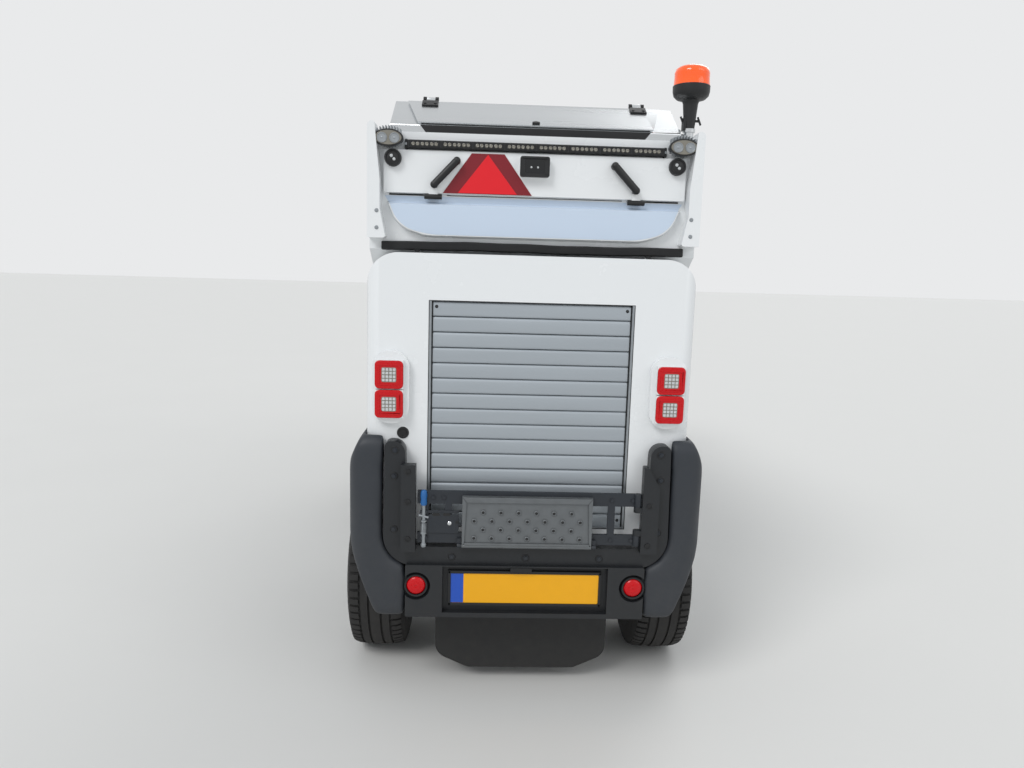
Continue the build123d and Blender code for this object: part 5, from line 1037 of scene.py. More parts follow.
class SWEEPER_OT_top_lamps(bpy.types.Operator):
    """Light bar, oval work lamps with cooling fins, and the beacon on its pole"""

    bl_idname = "sweeper.top_lamps"
    bl_label = "Top lamps"

    def execute(self, context):
        face = HOPPER_Y
        bar_z, module_pitch = 1.947, 0.107
        work_x, work_z = 0.493, 1.961

        with piece("light_bar_housing", "hopper", "black", bevel=0.003) as bm:
            slab(bm, (0, face + 0.016, bar_z), (0.868, 0.03, 0.027))
            for end in SIDES:
                slab(bm, (end * 0.437, face + 0.012, bar_z), (0.01, 0.026, 0.032))

        with piece("light_bar_modules", "hopper", "dark_glass", bevel=0.001) as bm:
            for place in range(8):
                slab(bm, ((place - 3.5) * module_pitch, face + 0.0305, bar_z), (0.101, 0.004, 0.021))

        with piece("light_bar_lenses", "hopper", "lens_smoked") as bm:
            lens = (0, 0.0016), (0.003, 0.0018), (0.0046, 0.0032), (0.0058, 0.0026), (0.0062, 0.0), (0, 0)
            for place in range(8):
                for pair in (-1, 0, 1):
                    for shift in (-0.0072, 0.0072):
                        x = (place - 3.5) * module_pitch + pair * 0.031 + shift
                        lathe(bm, lens, (x, face + 0.032, bar_z), Y, 14)

        with piece("light_bar_screws", "hopper", "zinc") as bm:
            for end in SIDES:
                rod(bm, (end * 0.437, face + 0.0245, bar_z), (end * 0.437, face + 0.027, bar_z), 0.0042, 14)

        with piece("work_lamp_bodies", "hopper", "zinc", bevel=0.001, slot="aluminium") as bm:
            for side in SIDES:
                middle = Vector((side * work_x, face + 0.03, work_z))
                sheet_plate(bm, oval(middle - Y * 0.006, 0.0485, 0.027, 28), 0.024, Y)
                for fin in range(9):
                    x = (fin - 4) * 0.0095
                    height = 0.027 * sqrt(1 - (x / 0.0485) ** 2)
                    slab(bm, middle + Vector((x, -0.002, 0.007)), (0.0034, 0.036, 2 * height + 0.014))
                slab(bm, middle + Vector((0, -0.024, 0)), (0.02, 0.02, 0.02))

        with piece("work_lamp_rims", "hopper", "black", bevel=0.0015) as bm:
            for side in SIDES:
                middle = Vector((side * work_x, face + 0.048, work_z))
                sheet_plate(bm, oval(middle, 0.05, 0.0285, 28), 0.006, Y)

        with piece("work_lamp_reflectors", "hopper", "zinc") as bm:
            dish = (
                (0, 0.0022), (0.003, 0.0018), (0.0042, 0.0006), (0.0128, 0.0006), (0.0142, 0.002), (0.0162, 0.002),
                (0.0174, 0.0), (0, 0),
            )
            for side in SIDES:
                for lamp in (-1, 1):
                    lathe(bm, dish, (side * work_x + lamp * 0.0205, face + 0.0558, 1.96), Y, 28)

        with piece("work_lamp_covers", "hopper", "lens_smoked", bevel=0.0008) as bm:
            for side in SIDES:
                middle = Vector((side * work_x, face + 0.053, work_z))
                sheet_plate(bm, oval(middle, 0.044, 0.0232, 32), 0.003, Y)

        beacon = Vector((-0.536, REAR_AXLE + 0.3, 0))

        with piece("beacon_lens", "hopper", "amber") as bm:
            dome = (
                (0.0, 0.0655), (0.022, 0.065), (0.046, 0.062), (0.0565, 0.054), (0.0595, 0.044), (0.0605, 0.04),
                (0.0595, 0.037), (0.0605, 0.033), (0.0595, 0.03), (0.061, 0.012), (0.062, 0.0), (0, 0),
            )
            lathe(bm, dome, beacon + Z * 2.185, Z, 64)

        with piece("beacon_base", "hopper", "black", bevel=0.001) as bm:
            bowl = (
                (0, 0), (0.026, 0), (0.03, 0.01), (0.05, 0.016), (0.06, 0.026), (0.0635, 0.04), (0.064, 0.0585),
                (0.06, 0.0605), (0, 0.0605),
            )
            lathe(bm, bowl, beacon + Z * 2.126, Z, 56)
            rod(bm, beacon + Z * 2.04, beacon + Z * 2.13, 0.018, 28, 0.0265)
            rod(bm, beacon + Z * 2.07 - X * 0.034, beacon + Z * 2.07 + X * 0.026, 0.0045, 12)
            for shift in (-0.034, 0.026):
                slab(bm, beacon + Vector((shift, 0, 2.07)), (0.005, 0.01, 0.03), tilt(0.4, "Y"))
            slab(bm, beacon + Vector((0.019, 0, 2.058)), (0.01, 0.03, 0.044))

        with piece("beacon_pole", "hopper", "steel", bevel=0.0008, segments=1) as bm:
            rod(bm, beacon + Z * 2.01, beacon + Z * 2.05, 0.0165, 28)
            lathe(bm, [(0.0165, 0.0), (0.0215, 0.0), (0.0215, 0.012), (0.0165, 0.012)], beacon + Z * 2.03, Z, 28)
            rod(bm, (beacon.x, beacon.y, 2.01), (-0.497, beacon.y, 2.01), 0.015, 24)
            ball(bm, beacon + Z * 2.01, 0.0165, 24, 14)
            lathe(bm, [(0.0, 0.004), (0.03, 0.004), (0.032, 0.0), (0, 0)], (-0.498, beacon.y, 2.01), (-1, 0, 0), 28)
        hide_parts("hopper_lamps")
        return {"FINISHED"}


class SWEEPER_OT_cowl(bpy.types.Operator):
    """Hinge covers, lock and rubber apron of the stainless cowl"""

    bl_idname = "sweeper.cowl"
    bl_label = "Air cowl trim"

    def execute(self, context):
        hinge_x = 0.372
        # The flap's plane: down its slope, out of it, and its lower edge
        slope = Vector((0, 0.8466, -0.5322))
        rise = Vector((0, 0.5322, 0.8466))
        lower = Vector((0, REAR_AXLE + 0.3358, 2.0301))
        turn = tilt(-atan2(0.5322, 0.8466))

        def on_flap(x, up, out=0.0):
            return lower + X * x - slope * up + rise * out

        with piece("flap_hinge_leaves", "cowl_flap", "black", bevel=0.0012) as bm:
            for side in SIDES:
                slab(bm, on_flap(side * hinge_x, 0.16, 0.003), (0.058, 0.044, 0.006), turn)
                for shift in (-0.018, 0.018):
                    spot = on_flap(side * hinge_x + shift, 0.154, 0.005)
                    rod(bm, spot, spot + rise * 0.0035, 0.0052, 12)

        with piece("flap_hinge_knuckles", "hopper", "black", bevel=0.001) as bm:
            for side in SIDES:
                for shift in (-0.0217, 0.0217):
                    middle = Vector((side * hinge_x + shift, REAR_AXLE + 0.158, 2.139))
                    rod(bm, middle - X * 0.0062, middle + X * 0.0062, 0.0095, 20)
                    slab(bm, middle + Vector((0, -0.014, -0.006)), (0.0124, 0.022, 0.006))

        with piece("flap_lock", "cowl_flap", "black", bevel=0.0008) as bm:
            knob = (0, 0.004), (0.0045, 0.0042), (0.0085, 0.0035), (0.0115, 0.0022), (0.0125, 0), (0, 0)
            lathe(bm, knob, on_flap(0.0, 0.022), rise, 24)
            slab(bm, on_flap(0.0, 0.0155, 0.003), (0.026, 0.008, 0.006), turn)

        with piece("cowl_apron", "hopper", "rubber", bevel=0.0012) as bm:
            outline = [(-0.396, 2.0195), (0.396, 2.0195), (0.374, 1.9925), (-0.374, 1.9925)]
            sheet_plate(bm, at_y(REAR_AXLE + 0.3352, outline), 0.0045, Y)
            slab(bm, (0, REAR_AXLE + 0.342, 1.9945), (0.72, 0.012, 0.006))

        with piece("cowl_flange", "hopper", "steel", bevel=0.0008, segments=1) as bm:
            for side in SIDES:
                slab(bm, (side * 0.484, REAR_AXLE - 0.09, 1.9925), (0.05, 0.78, 0.0028))
                for place in range(8):
                    spot = Vector((side * 0.502, REAR_AXLE - 0.44 + 0.1 * place, 1.9935))
                    rod(bm, spot, spot + Z * 0.0045, 0.0065, 6)
        return {"FINISHED"}


class SWEEPER_OT_gate(bpy.types.Operator):
    """Latch, bracket, bolts and pins of the swinging gate, and the pierced step"""

    bl_idname = "sweeper.gate"
    bl_label = "Gate and step"

    def execute(self, context):
        rail = REAR_AXLE + 0.528
        latch = Vector((0.354, rail + 0.0045, 0))

        with piece("gate_latch_pin", "gate", "zinc", smooth=50) as bm:
            rod(bm, latch + Z * 0.592, latch + Z * 0.745, 0.0066, 20)
            foot = (0, 0), (0.0085, 0.001), (0.0105, 0.007), (0.008, 0.014), (0, 0.015)
            lathe(bm, foot, latch + Z * 0.592, Z, 20)
            for turn in range(8):
                torus(bm, latch + Z * (0.6465 + turn * 0.0042), Z, 0.0098, 0.0016, 20, 8)
            for level in (0.64, 0.683):
                lathe(bm, [(0.005, 0), (0.0118, 0), (0.0118, 0.005), (0.005, 0.005)], latch + Z * level, Z, 20)
            rod(bm, latch + Vector((-0.016, 0.002, 0.697)), latch + Vector((0.017, 0.002, 0.706)), 0.0042, 14)

        with piece("gate_latch_grip", "gate", "blue", smooth=60) as bm:
            grip = (
                (0, 0), (0.0095, 0.001), (0.0115, 0.008), (0.0102, 0.02), (0.0117, 0.034), (0.0105, 0.048),
                (0.007, 0.053), (0, 0.054),
            )
            lathe(bm, grip, latch + Z * 0.74, Z, 24)

        with piece("gate_bracket", "gate", "rack", bevel=0.0012) as bm:
            for level, depth in ((0.624, 0.012), (0.716, 0.01)):
                slab(bm, latch + Vector((0, -0.003, level)), (0.026, 0.009, depth))
            bracket = (0.234, 0.641), (0.345, 0.641), (0.345, 0.7), (0.33, 0.708), (0.234, 0.708)
            sheet_plate(bm, at_y(rail + 0.0002, bracket), 0.0035, Y)
            slab(bm, (0.288, rail + 0.0016, 0.7165), (0.106, 0.003, 0.01))

        with piece("gate_bolts", "gate", "rack", bevel=0.0006, segments=1) as bm:
            for x, z in (
                (-0.362, 0.767), (-0.362, 0.6245), (-0.29, 0.767), (-0.29, 0.6245), (0.286, 0.7675), (0.322, 0.7675)
            ):
                rod(bm, (x, rail, z), (x, rail + 0.0016, z), 0.009, 20)
                rod(bm, (x, rail + 0.001, z), (x, rail + 0.0058, z), 0.0062, 6)

        with piece("gate_bright_bolt", "gate", "chrome") as bm:
            head = (0, 0.0045), (0.004, 0.004), (0.0068, 0.002), (0.0072, 0), (0, 0)
            lathe(bm, head, (0.266, rail + 0.0035, 0.677), Y, 20)

        # The bracket's hole and slots are dark rubber discs and sheets on its face: painted shade for the openings
        with piece("gate_bracket_holes", "gate", "rubber") as bm:
            rod(bm, (0.24, rail + 0.0033, 0.681), (0.24, rail + 0.0042, 0.681), 0.0055, 20)
            for x in (0.276, 0.312):
                sheet_plate(bm, at_y(rail + 0.0033, rounded(x, 0.7075, 0.026, 0.01, 0.0045)), 0.0006, Y)

        with piece("gate_post_bolts", "chassis", "black") as bm:
            collar = (0.0062, 0.0035), (0.0098, 0.003), (0.0105, 0.0008), (0.0105, 0)
            for x, z in ((0.408, 0.753), (0.408, 0.622), (-0.418, 0.751), (-0.418, 0.609), (0.408, 0.858)):
                lathe(bm, collar, (x, REAR_AXLE + 0.542, z), Y, 22)
                rod(bm, (x, REAR_AXLE + 0.5418, z), (x, REAR_AXLE + 0.5444, z), 0.0064, 6)

        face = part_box("step_plate")[1][1]

        with piece("step_dimples", "step_plate", "tread_plate", bevel=0.0008) as bm:
            dimple = (0.0045, 0.0), (0.0052, 0.0014), (0.0072, 0.0016), (0.0088, 0.0)
            for x, z in step_holes():
                lathe(bm, dimple, (x, face - 0.0004, z), Y, 18)
            outline = [(-0.222, 0.7745), (0.222, 0.7745), (0.207, 0.756), (-0.207, 0.756)]
            sheet_plate(bm, at_y(face - 0.001, outline), 0.004, Y)
            for side in SIDES:
                fold = (0.2225, 0.774), (0.2225, 0.604), (0.2145, 0.612), (0.208, 0.756)
                sheet_plate(bm, [(side * x, face - 0.001, z) for x, z in fold], 0.0028, Y)
            slab(bm, (0, face + 0.0002, 0.6085), (0.43, 0.003, 0.008))

        # The step's holes are dark rubber discs: painted shade for what shows through them
        with piece("step_holes", "step_plate", "rubber") as bm:
            for x, z in step_holes():
                rod(bm, (x, face - 0.002, z), (x, face + 0.0005, z), 0.0047, 16)
        return {"FINISHED"}


class SWEEPER_OT_gaskets(bpy.types.Operator):
    """Rubber beads round the cab's panes"""

    bl_idname = "sweeper.gaskets"
    bl_label = "Window gaskets"

    def execute(self, context):
        panes = {"cab_glass": "chassis", "door_glass_left": "cab_door_left", "door_glass_right": "cab_door_right"}
        for node, body in panes.items():
            bead(f"{node}_gasket", pane_loops(node), 0.0075, body, "rubber")
        return {"FINISHED"}


class SWEEPER_OT_cab_front(bpy.types.Operator):
    """Grille, headlamps, indicators, bumper, towing eyes and service flap of the nose, and the wiper"""

    bl_idname = "sweeper.cab_front"
    bl_label = "Cab front"

    def execute(self, context):
        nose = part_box("cab_shell")[0][1]
        lamps = [(side * 0.4, nose, 0.69) for side in SIDES]

        with piece("nose_grille", "chassis", "black", bevel=0.0015) as bm:
            sheet_plate(bm, at_y(nose + 0.004, rounded(0, 0.69, 0.6, 0.13, 0.02)), -0.006, Y)
            for row in range(6):
                slab(bm, (0, nose - 0.004, 0.64 + row * 0.02), (0.56, 0.01, 0.007), tilt(0.5))
            for x in (-0.19, 0, 0.19):
                slab(bm, (x, nose - 0.005, 0.69), (0.008, 0.008, 0.112))

        with piece("headlamp_bezels", "chassis", "black", smooth=45) as bm:
            ring = (0.06, 0.002), (0.061, 0.0075), (0.066, 0.0095), (0.074, 0.006), (0.076, 0.0), (0.06, 0.0)
            cup = (0, 0.0015), (0.025, 0.0015), (0.0285, 0.006), (0.031, 0.005), (0.032, 0), (0, 0)
            for side in SIDES:
                lathe(bm, ring, (side * 0.4, nose + 0.0005, 0.69), -Y, 48)
                lathe(bm, cup, (side * 0.4, nose + 0.0005, 0.8), -Y, 32)

        with piece("headlamp_bowls", "chassis", "chrome", smooth=60) as bm:
            bowl = (
                (0, -0.0185), (0.012, -0.018), (0.03, -0.013), (0.048, -0.004), (0.0595, 0.0035), (0.06, -0.019),
                (0, -0.019),
            )
            for x, y, z in lamps:
                lathe(bm, bowl, (x, y, z), -Y, 48)
                ball(bm, (x, y + 0.01, z), 0.011, 20, 12)

        with piece("headlamp_lenses", "chassis", "glass", smooth=60, slot="lamp_clear", replaces="headlamps") as bm:
            lens = (
                (0, 0.014), (0.02, 0.0132), (0.04, 0.0105), (0.0605, 0.005), (0.0605, 0.003), (0.04, 0.0085),
                (0.02, 0.0112), (0, 0.012),
            )
            for lamp in lamps:
                lathe(bm, lens, lamp, -Y, 48)

        with piece("front_indicators", "chassis", "amber", bevel=0.002) as bm:
            dome = (0, 0.0125), (0.012, 0.0115), (0.022, 0.007), (0.0255, 0.0015), (0.0255, 0), (0, 0)
            repeater = (0.088, 0.905), (0.152, 0.905), (0.152, 0.929), (0.088, 0.929)
            for side in SIDES:
                lathe(bm, dome, (side * 0.4, nose - 0.0005, 0.8), -Y, 32)
                sheet_plate(bm, [(side * 0.5905, FRONT_AXLE + y, z) for y, z in repeater], side * 0.01, X)

        with piece("nose_bumper", "chassis", "plastic", bevel=0.006, segments=3) as bm:
            sheet_plate(bm, at_y(nose + 0.002, rounded(0, 0.553, 0.84, 0.072, 0.016)), -0.014, Y)
            for x in (-0.28, 0.28):
                slab(bm, (x, nose - 0.0135, 0.553), (0.13, 0.006, 0.04))

        with piece("nose_towing_eyes", "chassis", "zinc") as bm:
            for x in (-0.28, 0.28):
                torus(bm, (x, nose - 0.0165, 0.553), Y, 0.014, 0.0028, 24, 8)

        with piece("nose_service_flap", "chassis", "paint", bevel=0.0012) as bm:
            sheet_plate(bm, at_y(nose - 0.0003, rounded(0, 0.875, 0.56, 0.11, 0.018)), -0.0022, Y)

        with piece("nose_flap_latches", "chassis", "black") as bm:
            knob = (0, 0.005), (0.007, 0.0048), (0.011, 0.0035), (0.0135, 0.0), (0, 0)
            for x in (-0.215, 0.215):
                lathe(bm, knob, (x, nose - 0.002, 0.905), -Y, 24)
                slab(bm, (x, nose - 0.0072, 0.905), (0.012, 0.002, 0.0022))

        # The windscreen's plane: up its lean, out of it, and its foot
        lean = Vector((0, 0.2689, 0.9632))
        off = Vector((0, -0.9632, 0.2689))
        foot = Vector((0, FRONT_AXLE - 1.01, 1.02))

        def on_screen(x, up, out):
            return foot + X * x + lean * up + off * out

        with piece("windscreen_wiper", "chassis", "black", smooth=45) as bm:
            rod(bm, on_screen(0.02, 0.03, -0.004), on_screen(0.02, 0.03, 0.016), 0.014, 20, 0.01)
            rod(bm, on_screen(0.02, 0.03, 0.012), on_screen(-0.16, 0.4, 0.01), 0.0065, 12, 0.0045)
            rod(bm, on_screen(0.045, 0.034, 0.01), on_screen(-0.145, 0.42, 0.009), 0.0035, 10)
            slab(bm, on_screen(-0.155, 0.4, 0.004), (0.02, 0.01, 0.06), tilt(-0.272))
            rod(bm, on_screen(-0.155, 0.13, 0.000), on_screen(-0.155, 0.67, 0.000), 0.006, 12)
            rod(bm, on_screen(-0.155, 0.13, -0.006), on_screen(-0.155, 0.67, -0.006), 0.003, 8)
        return {"FINISHED"}


class SWEEPER_OT_cab_sides(bpy.types.Operator):
    """Door handles, rubbing strips and linings, mirror glass, roof hatch and aerial of the cab"""

    bl_idname = "sweeper.cab_sides"
    bl_label = "Cab sides"

    def execute(self, context):
        for side, name in NAMED_SIDES:
            with piece(f"door_handle_{name}", f"cab_door_{name}", "black", bevel=0.003, segments=3) as bm:
                y, z = FRONT_AXLE - 0.02, 0.94
                plate = [(side * 0.5895, y + across, z + up) for across, up in
                         ((-0.075, -0.028), (0.062, -0.028), (0.062, 0.028), (-0.075, 0.028))]
                sheet_plate(bm, plate, side * 0.004, X)
                lever = [(side * 0.5935, y + across, z + up) for across, up in
                         ((-0.064, -0.012), (0.044, -0.017), (0.044, 0.017), (-0.064, 0.015))]
                sheet_plate(bm, lever, side * 0.01, X)
                rod(bm, (side * 0.592, y + 0.046, z - 0.001), (side * 0.598, y + 0.046, z - 0.001), 0.0085, 20)

            with piece(f"door_rubbing_strip_{name}", f"cab_door_{name}", "black", bevel=0.0015) as bm:
                slab(bm, (side * 0.5915, FRONT_AXLE - 0.48, 0.86), (0.004, 0.7, 0.03))

            with piece(f"door_lining_{name}", f"cab_door_{name}", "dash", bevel=0.003, segments=3) as bm:
                inside = 0.5555
                panel = rounded(FRONT_AXLE - 0.405, 0.895, 0.83, 0.18, 0.03)
                sheet_plate(bm, at_x(side * inside, panel), -side * 0.004, X)
                pocket = rounded(FRONT_AXLE - 0.595, 0.695, 0.42, 0.13, 0.025)
                sheet_plate(bm, at_x(side * inside, pocket), -side * 0.016, X)
                slab(bm, (side * 0.538, FRONT_AXLE - 0.3, 0.88), (0.032, 0.3, 0.036))

            with piece(f"door_inner_handle_{name}", f"cab_door_{name}", "black", bevel=0.002) as bm:
                slab(bm, (side * 0.55, FRONT_AXLE - 0.04, 0.94), (0.006, 0.09, 0.046))
                slab(bm, (side * 0.5445, FRONT_AXLE - 0.045, 0.942), (0.007, 0.062, 0.016))

        mirror_x, back = 0.7, FRONT_AXLE - 0.985 + 0.022

        with piece("mirror_glass", "chassis", "chrome") as bm:
            for side in SIDES:
                sheet_plate(bm, at_y(back + 0.0012, rounded(side * mirror_x, 1.48, 0.126, 0.196, 0.022)), 0.0012, Y)
                sheet_plate(bm, at_y(back + 0.0012, rounded(side * mirror_x, 1.336, 0.126, 0.074, 0.018)), 0.0012, Y)

        with piece("mirror_surrounds", "chassis", "black", bevel=0.0008) as bm:
            for side in SIDES:
                sheet_plate(bm, at_y(back - 0.001, rounded(side * mirror_x, 1.44, 0.144, 0.292, 0.028)), 0.0022, Y)

        top, hatch_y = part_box("cab_shell")[1][2], FRONT_AXLE - 0.18

        with piece("roof_hatch", "chassis", "paint", bevel=0.008, segments=4) as bm:
            corners = (-0.24, -0.2), (0.24, -0.2), (0.24, 0.22), (-0.24, 0.22)
            sheet_plate(bm, [(x, hatch_y + across, top - 0.006) for x, across in corners], 0.016, Z)

        with piece("roof_seal_and_aerial", "chassis", "rubber", bevel=0.002) as bm:
            corners = (-0.247, -0.207), (0.247, -0.207), (0.247, 0.227), (-0.247, 0.227)
            sheet_plate(bm, [(x, hatch_y + across, top - 0.012) for x, across in corners], 0.01, Z)
            aerial_x, aerial_y = 0.4, FRONT_AXLE - 0.52
            rod(bm, (aerial_x, aerial_y, top - 0.012), (aerial_x, aerial_y, top + 0.006), 0.02, 24, 0.014)
            rod(bm, (aerial_x, aerial_y, top + 0.002), (aerial_x, FRONT_AXLE - 0.44, top + 0.15), 0.0035, 10, 0.002)
        return {"FINISHED"}


# Seats


def pad_start(bm, size, corner, crown, bolster=0.0):
    """A pad before it is filled: a rounded block with a crowned top and, if asked, raised sides."""
    bmesh.ops.create_cube(bm, size=1, matrix=Matrix.Diagonal((*size, 1)))
    bmesh.ops.bevel(bm, geom=bm.edges[:], offset=corner, segments=3, profile=0.5, affect="EDGES", material=-1)
    bmesh.ops.subdivide_edges(bm, edges=bm.edges[:], cuts=5, use_grid_fill=True)
    for vert in bm.verts:
        if vert.co.z > 0:
            across, along = 2 * vert.co.x / size[0], 2 * vert.co.y / size[1]
            vert.co.z += crown * (1 - across**2) * (1 - along**2)
            if bolster and abs(across) > 0.62:
                vert.co.z += bolster * sin((abs(across) - 0.62) / 0.38 * pi)


def fill_pads(pads, cap):
    """Fills the pads with air by cloth simulation, limits how far they move, and keeps the result."""
    scene = bpy.context.scene
    starts = {}
    for pad in pads:
        remesh = pad.modifiers.new("Voxels", "REMESH")
        remesh.mode = "VOXEL"
        remesh.voxel_size = 0.0055
        mesh = apply_modifiers(pad, bpy.context.evaluated_depsgraph_get())
        starts[pad.name] = [vert.co.copy() for vert in mesh.vertices]
    for pad in pads:
        cloth = pad.modifiers.new("Cloth", "CLOTH")
        cloth.settings.quality = 4
        cloth.settings.use_pressure = True
        cloth.settings.uniform_pressure_force = 4
        cloth.settings.effector_weights.gravity = 0
        cloth.point_cache.frame_end = 20
    for step in range(1, 21):
        scene.frame_set(step)
    graph = bpy.context.evaluated_depsgraph_get()
    for pad in pads:
        filled = apply_modifiers(pad, graph)
        for vert, start in zip(filled.vertices, starts[pad.name]):
            moved = vert.co - start
            if moved.length > cap:
                vert.co = start + moved.normalized() * cap
    scene.frame_set(1)


SEAT_X = 0.29


class SWEEPER_OT_seats(bpy.types.Operator):
    """Two seats: padded cushions, backs and head rests with piping, on black frames with belts"""

    bl_idname = "sweeper.seats"
    bl_label = "Seats"

    def execute(self, context):
        sizes = context.scene.sweeper_sizes
        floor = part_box("seats")[0][2]
        lean = Matrix.Rotation(radians(90 - 7.6), 4, "X")
        parts = (
            # name, size, corner, crown, bolster, middle from the front axle and the floor, turn
            ("cushion", (0.372, 0.392, 0.074), 0.02, 0.01, 0.018, (-0.128, 0.092), Matrix.Identity(4)),
            ("back", (0.352, 0.52, 0.062), 0.018, 0.006, 0.016, (0.098, 0.4), lean),
            ("head_rest", (0.232, 0.13, 0.058), 0.02, 0.006, 0.0, (0.156, 0.768), lean),
        )
        pads = []
        for side, name in NAMED_SIDES:
            for part, size, corner, crown, bolster, (y, z), turn in parts:
                with piece(f"seat_{part}_{name}", "chassis", "fabric") as bm:
                    pad_start(bm, size, corner, crown, bolster)
                made = bpy.data.objects[f"seat_{part}_{name}"]
                place = Matrix.Translation((side * SEAT_X, FRONT_AXLE + y, floor + z)) @ turn
                if part != "cushion":
                    place = place @ Matrix.Rotation(pi, 4, "Y") @ Matrix.Rotation(pi, 4, "Z")
                made.data.transform(place)
                pads.append(made)
        fill_pads(pads, sizes.seat_swell)
        for pad in pads:
            dress(pad.data, "fabric")
            finer = pad.modifiers.new("Finer", "SUBSURF")
            finer.levels = finer.render_levels = 1
        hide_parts("seats")

        for side, name in NAMED_SIDES:
            middle = Vector((side * SEAT_X, FRONT_AXLE, floor))
            rings = []
            for across in (-1, 1):
                cushion = [
                    (across * 0.118, -0.3 + 0.035 * step, 0.1445 + 0.004 * sin(step / 9 * pi)) for step in range(10)
                ]
                back = [(across * 0.108, 0.0255 + 0.0133 * step, 0.2 + 0.0495 * step) for step in range(9)]
                rings += [[middle + Vector(point) for point in line] for line in (cushion, back)]
            bead(f"seat_piping_{name}", rings, 0.003, "chassis", "rubber", closed=False, slot="seat_fabric")

            with piece(f"seat_frame_{name}", "chassis", "black", bevel=0.003) as bm:
                for across in (-0.15, 0.15):
                    slab(bm, middle + Vector((across, -0.11, 0.012)), (0.034, 0.36, 0.024))
                    slab(bm, middle + Vector((across, -0.11, 0.034)), (0.024, 0.3, 0.022))
                slab(bm, middle + Vector((0, -0.125, 0.048)), (0.345, 0.35, 0.012))
                rod(bm, middle + Vector((-0.15, -0.3, 0.03)), middle + Vector((0.15, -0.3, 0.03)), 0.008, 16)
                for across in (-0.196, 0.196):
                    slab(bm, middle + Vector((across, 0.05, 0.105)), (0.01, 0.11, 0.11))
                    ends = [middle + Vector((across * share, 0.062, 0.13)) for share in (0.985, 1.01)]
                    rod(bm, *ends, 0.028, 28)

            with piece(f"head_rest_posts_{name}", "chassis", "chrome") as bm:
                for across in (-0.055, 0.055):
                    low = middle + Vector((across, 0.128, 0.64))
                    rod(bm, low, low + Vector((0, 0.01, 0.075)), 0.0058, 16)

            with piece(f"seat_belt_{name}", "chassis", "black") as bm:
                for start, end in (
                    ((side * 0.185, 0.118, 0.78), (side * 0.172, 0.01, 0.23)),
                    ((-side * 0.19, 0.03, 0.15), (side * 0.19, 0.03, 0.15)),
                ):
                    start, end = middle + Vector(start), middle + Vector(end)
                    along = end - start
                    turn = along.to_track_quat("X", "Y").to_matrix()
                    slab(bm, (start + end) / 2, (along.length, 0.046, 0.0016), turn)
        return {"FINISHED"}


class SWEEPER_OT_cockpit(bpy.types.Operator):
    """Steering wheel, instruments, screen and centre console"""

    bl_idname = "sweeper.cockpit"
    bl_label = "Cockpit"

    def execute(self, context):
        hub = Vector((SEAT_X, FRONT_AXLE - 0.56, 1.12))
        foot = Vector((SEAT_X, FRONT_AXLE - 0.74, 0.94))
        up = (hub - foot).normalized()
        wheel_middle = hub + up * 0.03

        with piece("steering_wheel_grip", "chassis", "black", smooth=50, replaces="steering_wheel") as bm:
            torus(bm, wheel_middle, up, 0.185, 0.013, 72, 14)
            for place in range(3):
                angle = 2 * pi * place / 3 + pi / 2
                ray = X * cos(angle) + up.cross(X) * sin(angle)
                rod(bm, wheel_middle + ray * 0.03 - up * 0.004, wheel_middle + ray * 0.176, 0.0125, 12, 0.0085)
            boss = (0, 0.042), (0.02, 0.041), (0.033, 0.036), (0.038, 0.026), (0.038, 0.002), (0, 0.001)
            lathe(bm, boss, hub, up, 36)

        with piece("instrument_pod", "chassis", "black", bevel=0.01, segments=4) as bm:
            top = Vector((SEAT_X, FRONT_AXLE - 0.8, 1.04))
            slab(bm, top + Vector((0, 0, 0.03)), (0.3, 0.09, 0.07), tilt(-0.35))
            slab(bm, Vector((0, FRONT_AXLE - 0.77, 1.085)), (0.19, 0.022, 0.12), tilt(-0.3))
            for x in (-0.4, -0.2):
                slab(bm, (x, FRONT_AXLE - 0.738, 1.000), (0.11, 0.02, 0.05), tilt(-0.64))

        with piece("instrument_dials", "chassis", "plastic", bevel=0.0012, slot="grey_plastic") as bm:
            face = Vector((SEAT_X, FRONT_AXLE - 0.7555, 1.085))
            out = Vector((0, 0.94, 0.34)).normalized()
            dial = (0.036, 0), (0.038, 0.003), (0.034, 0.0035), (0.033, 0.001), (0, 0.001)
            for x in (-0.07, 0.07):
                lathe(bm, dial, face + X * x, out, 36)
            for row in range(2):
                for column in range(5):
                    key = (-0.06 + column * 0.03, FRONT_AXLE - 0.7205, 0.985 - row * 0.03)
                    slab(bm, key, (0.02, 0.012, 0.02), tilt(-0.64))

        with piece("screen_glass", "chassis", "dark_glass", bevel=0.0006, segments=1) as bm:
            turn = tilt(-0.3)
            middle = Vector((0, FRONT_AXLE - 0.77, 1.085)) + turn @ Vector((0, 0.0115, 0))
            slab(bm, middle, (0.166, 0.002, 0.096), turn)

        with piece("centre_console", "chassis", "dash", bevel=0.006) as bm:
            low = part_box("seats")[0][2]
            slab(bm, (0, FRONT_AXLE - 0.15, low + 0.075), (0.12, 0.34, 0.14))
            rod(bm, (0, FRONT_AXLE - 0.25, low + 0.14), (0, FRONT_AXLE - 0.262, low + 0.215), 0.008, 16)
            ball(bm, (0, FRONT_AXLE - 0.263, low + 0.224), 0.02, 20, 12)
            for place in range(4):
                knob = (0.03 - 0.06 * (place % 2), FRONT_AXLE - 0.12 + 0.05 * (place // 2), low + 0.148)
                slab(bm, knob, (0.03, 0.022, 0.012))
        return {"FINISHED"}


# Brushes and nozzle


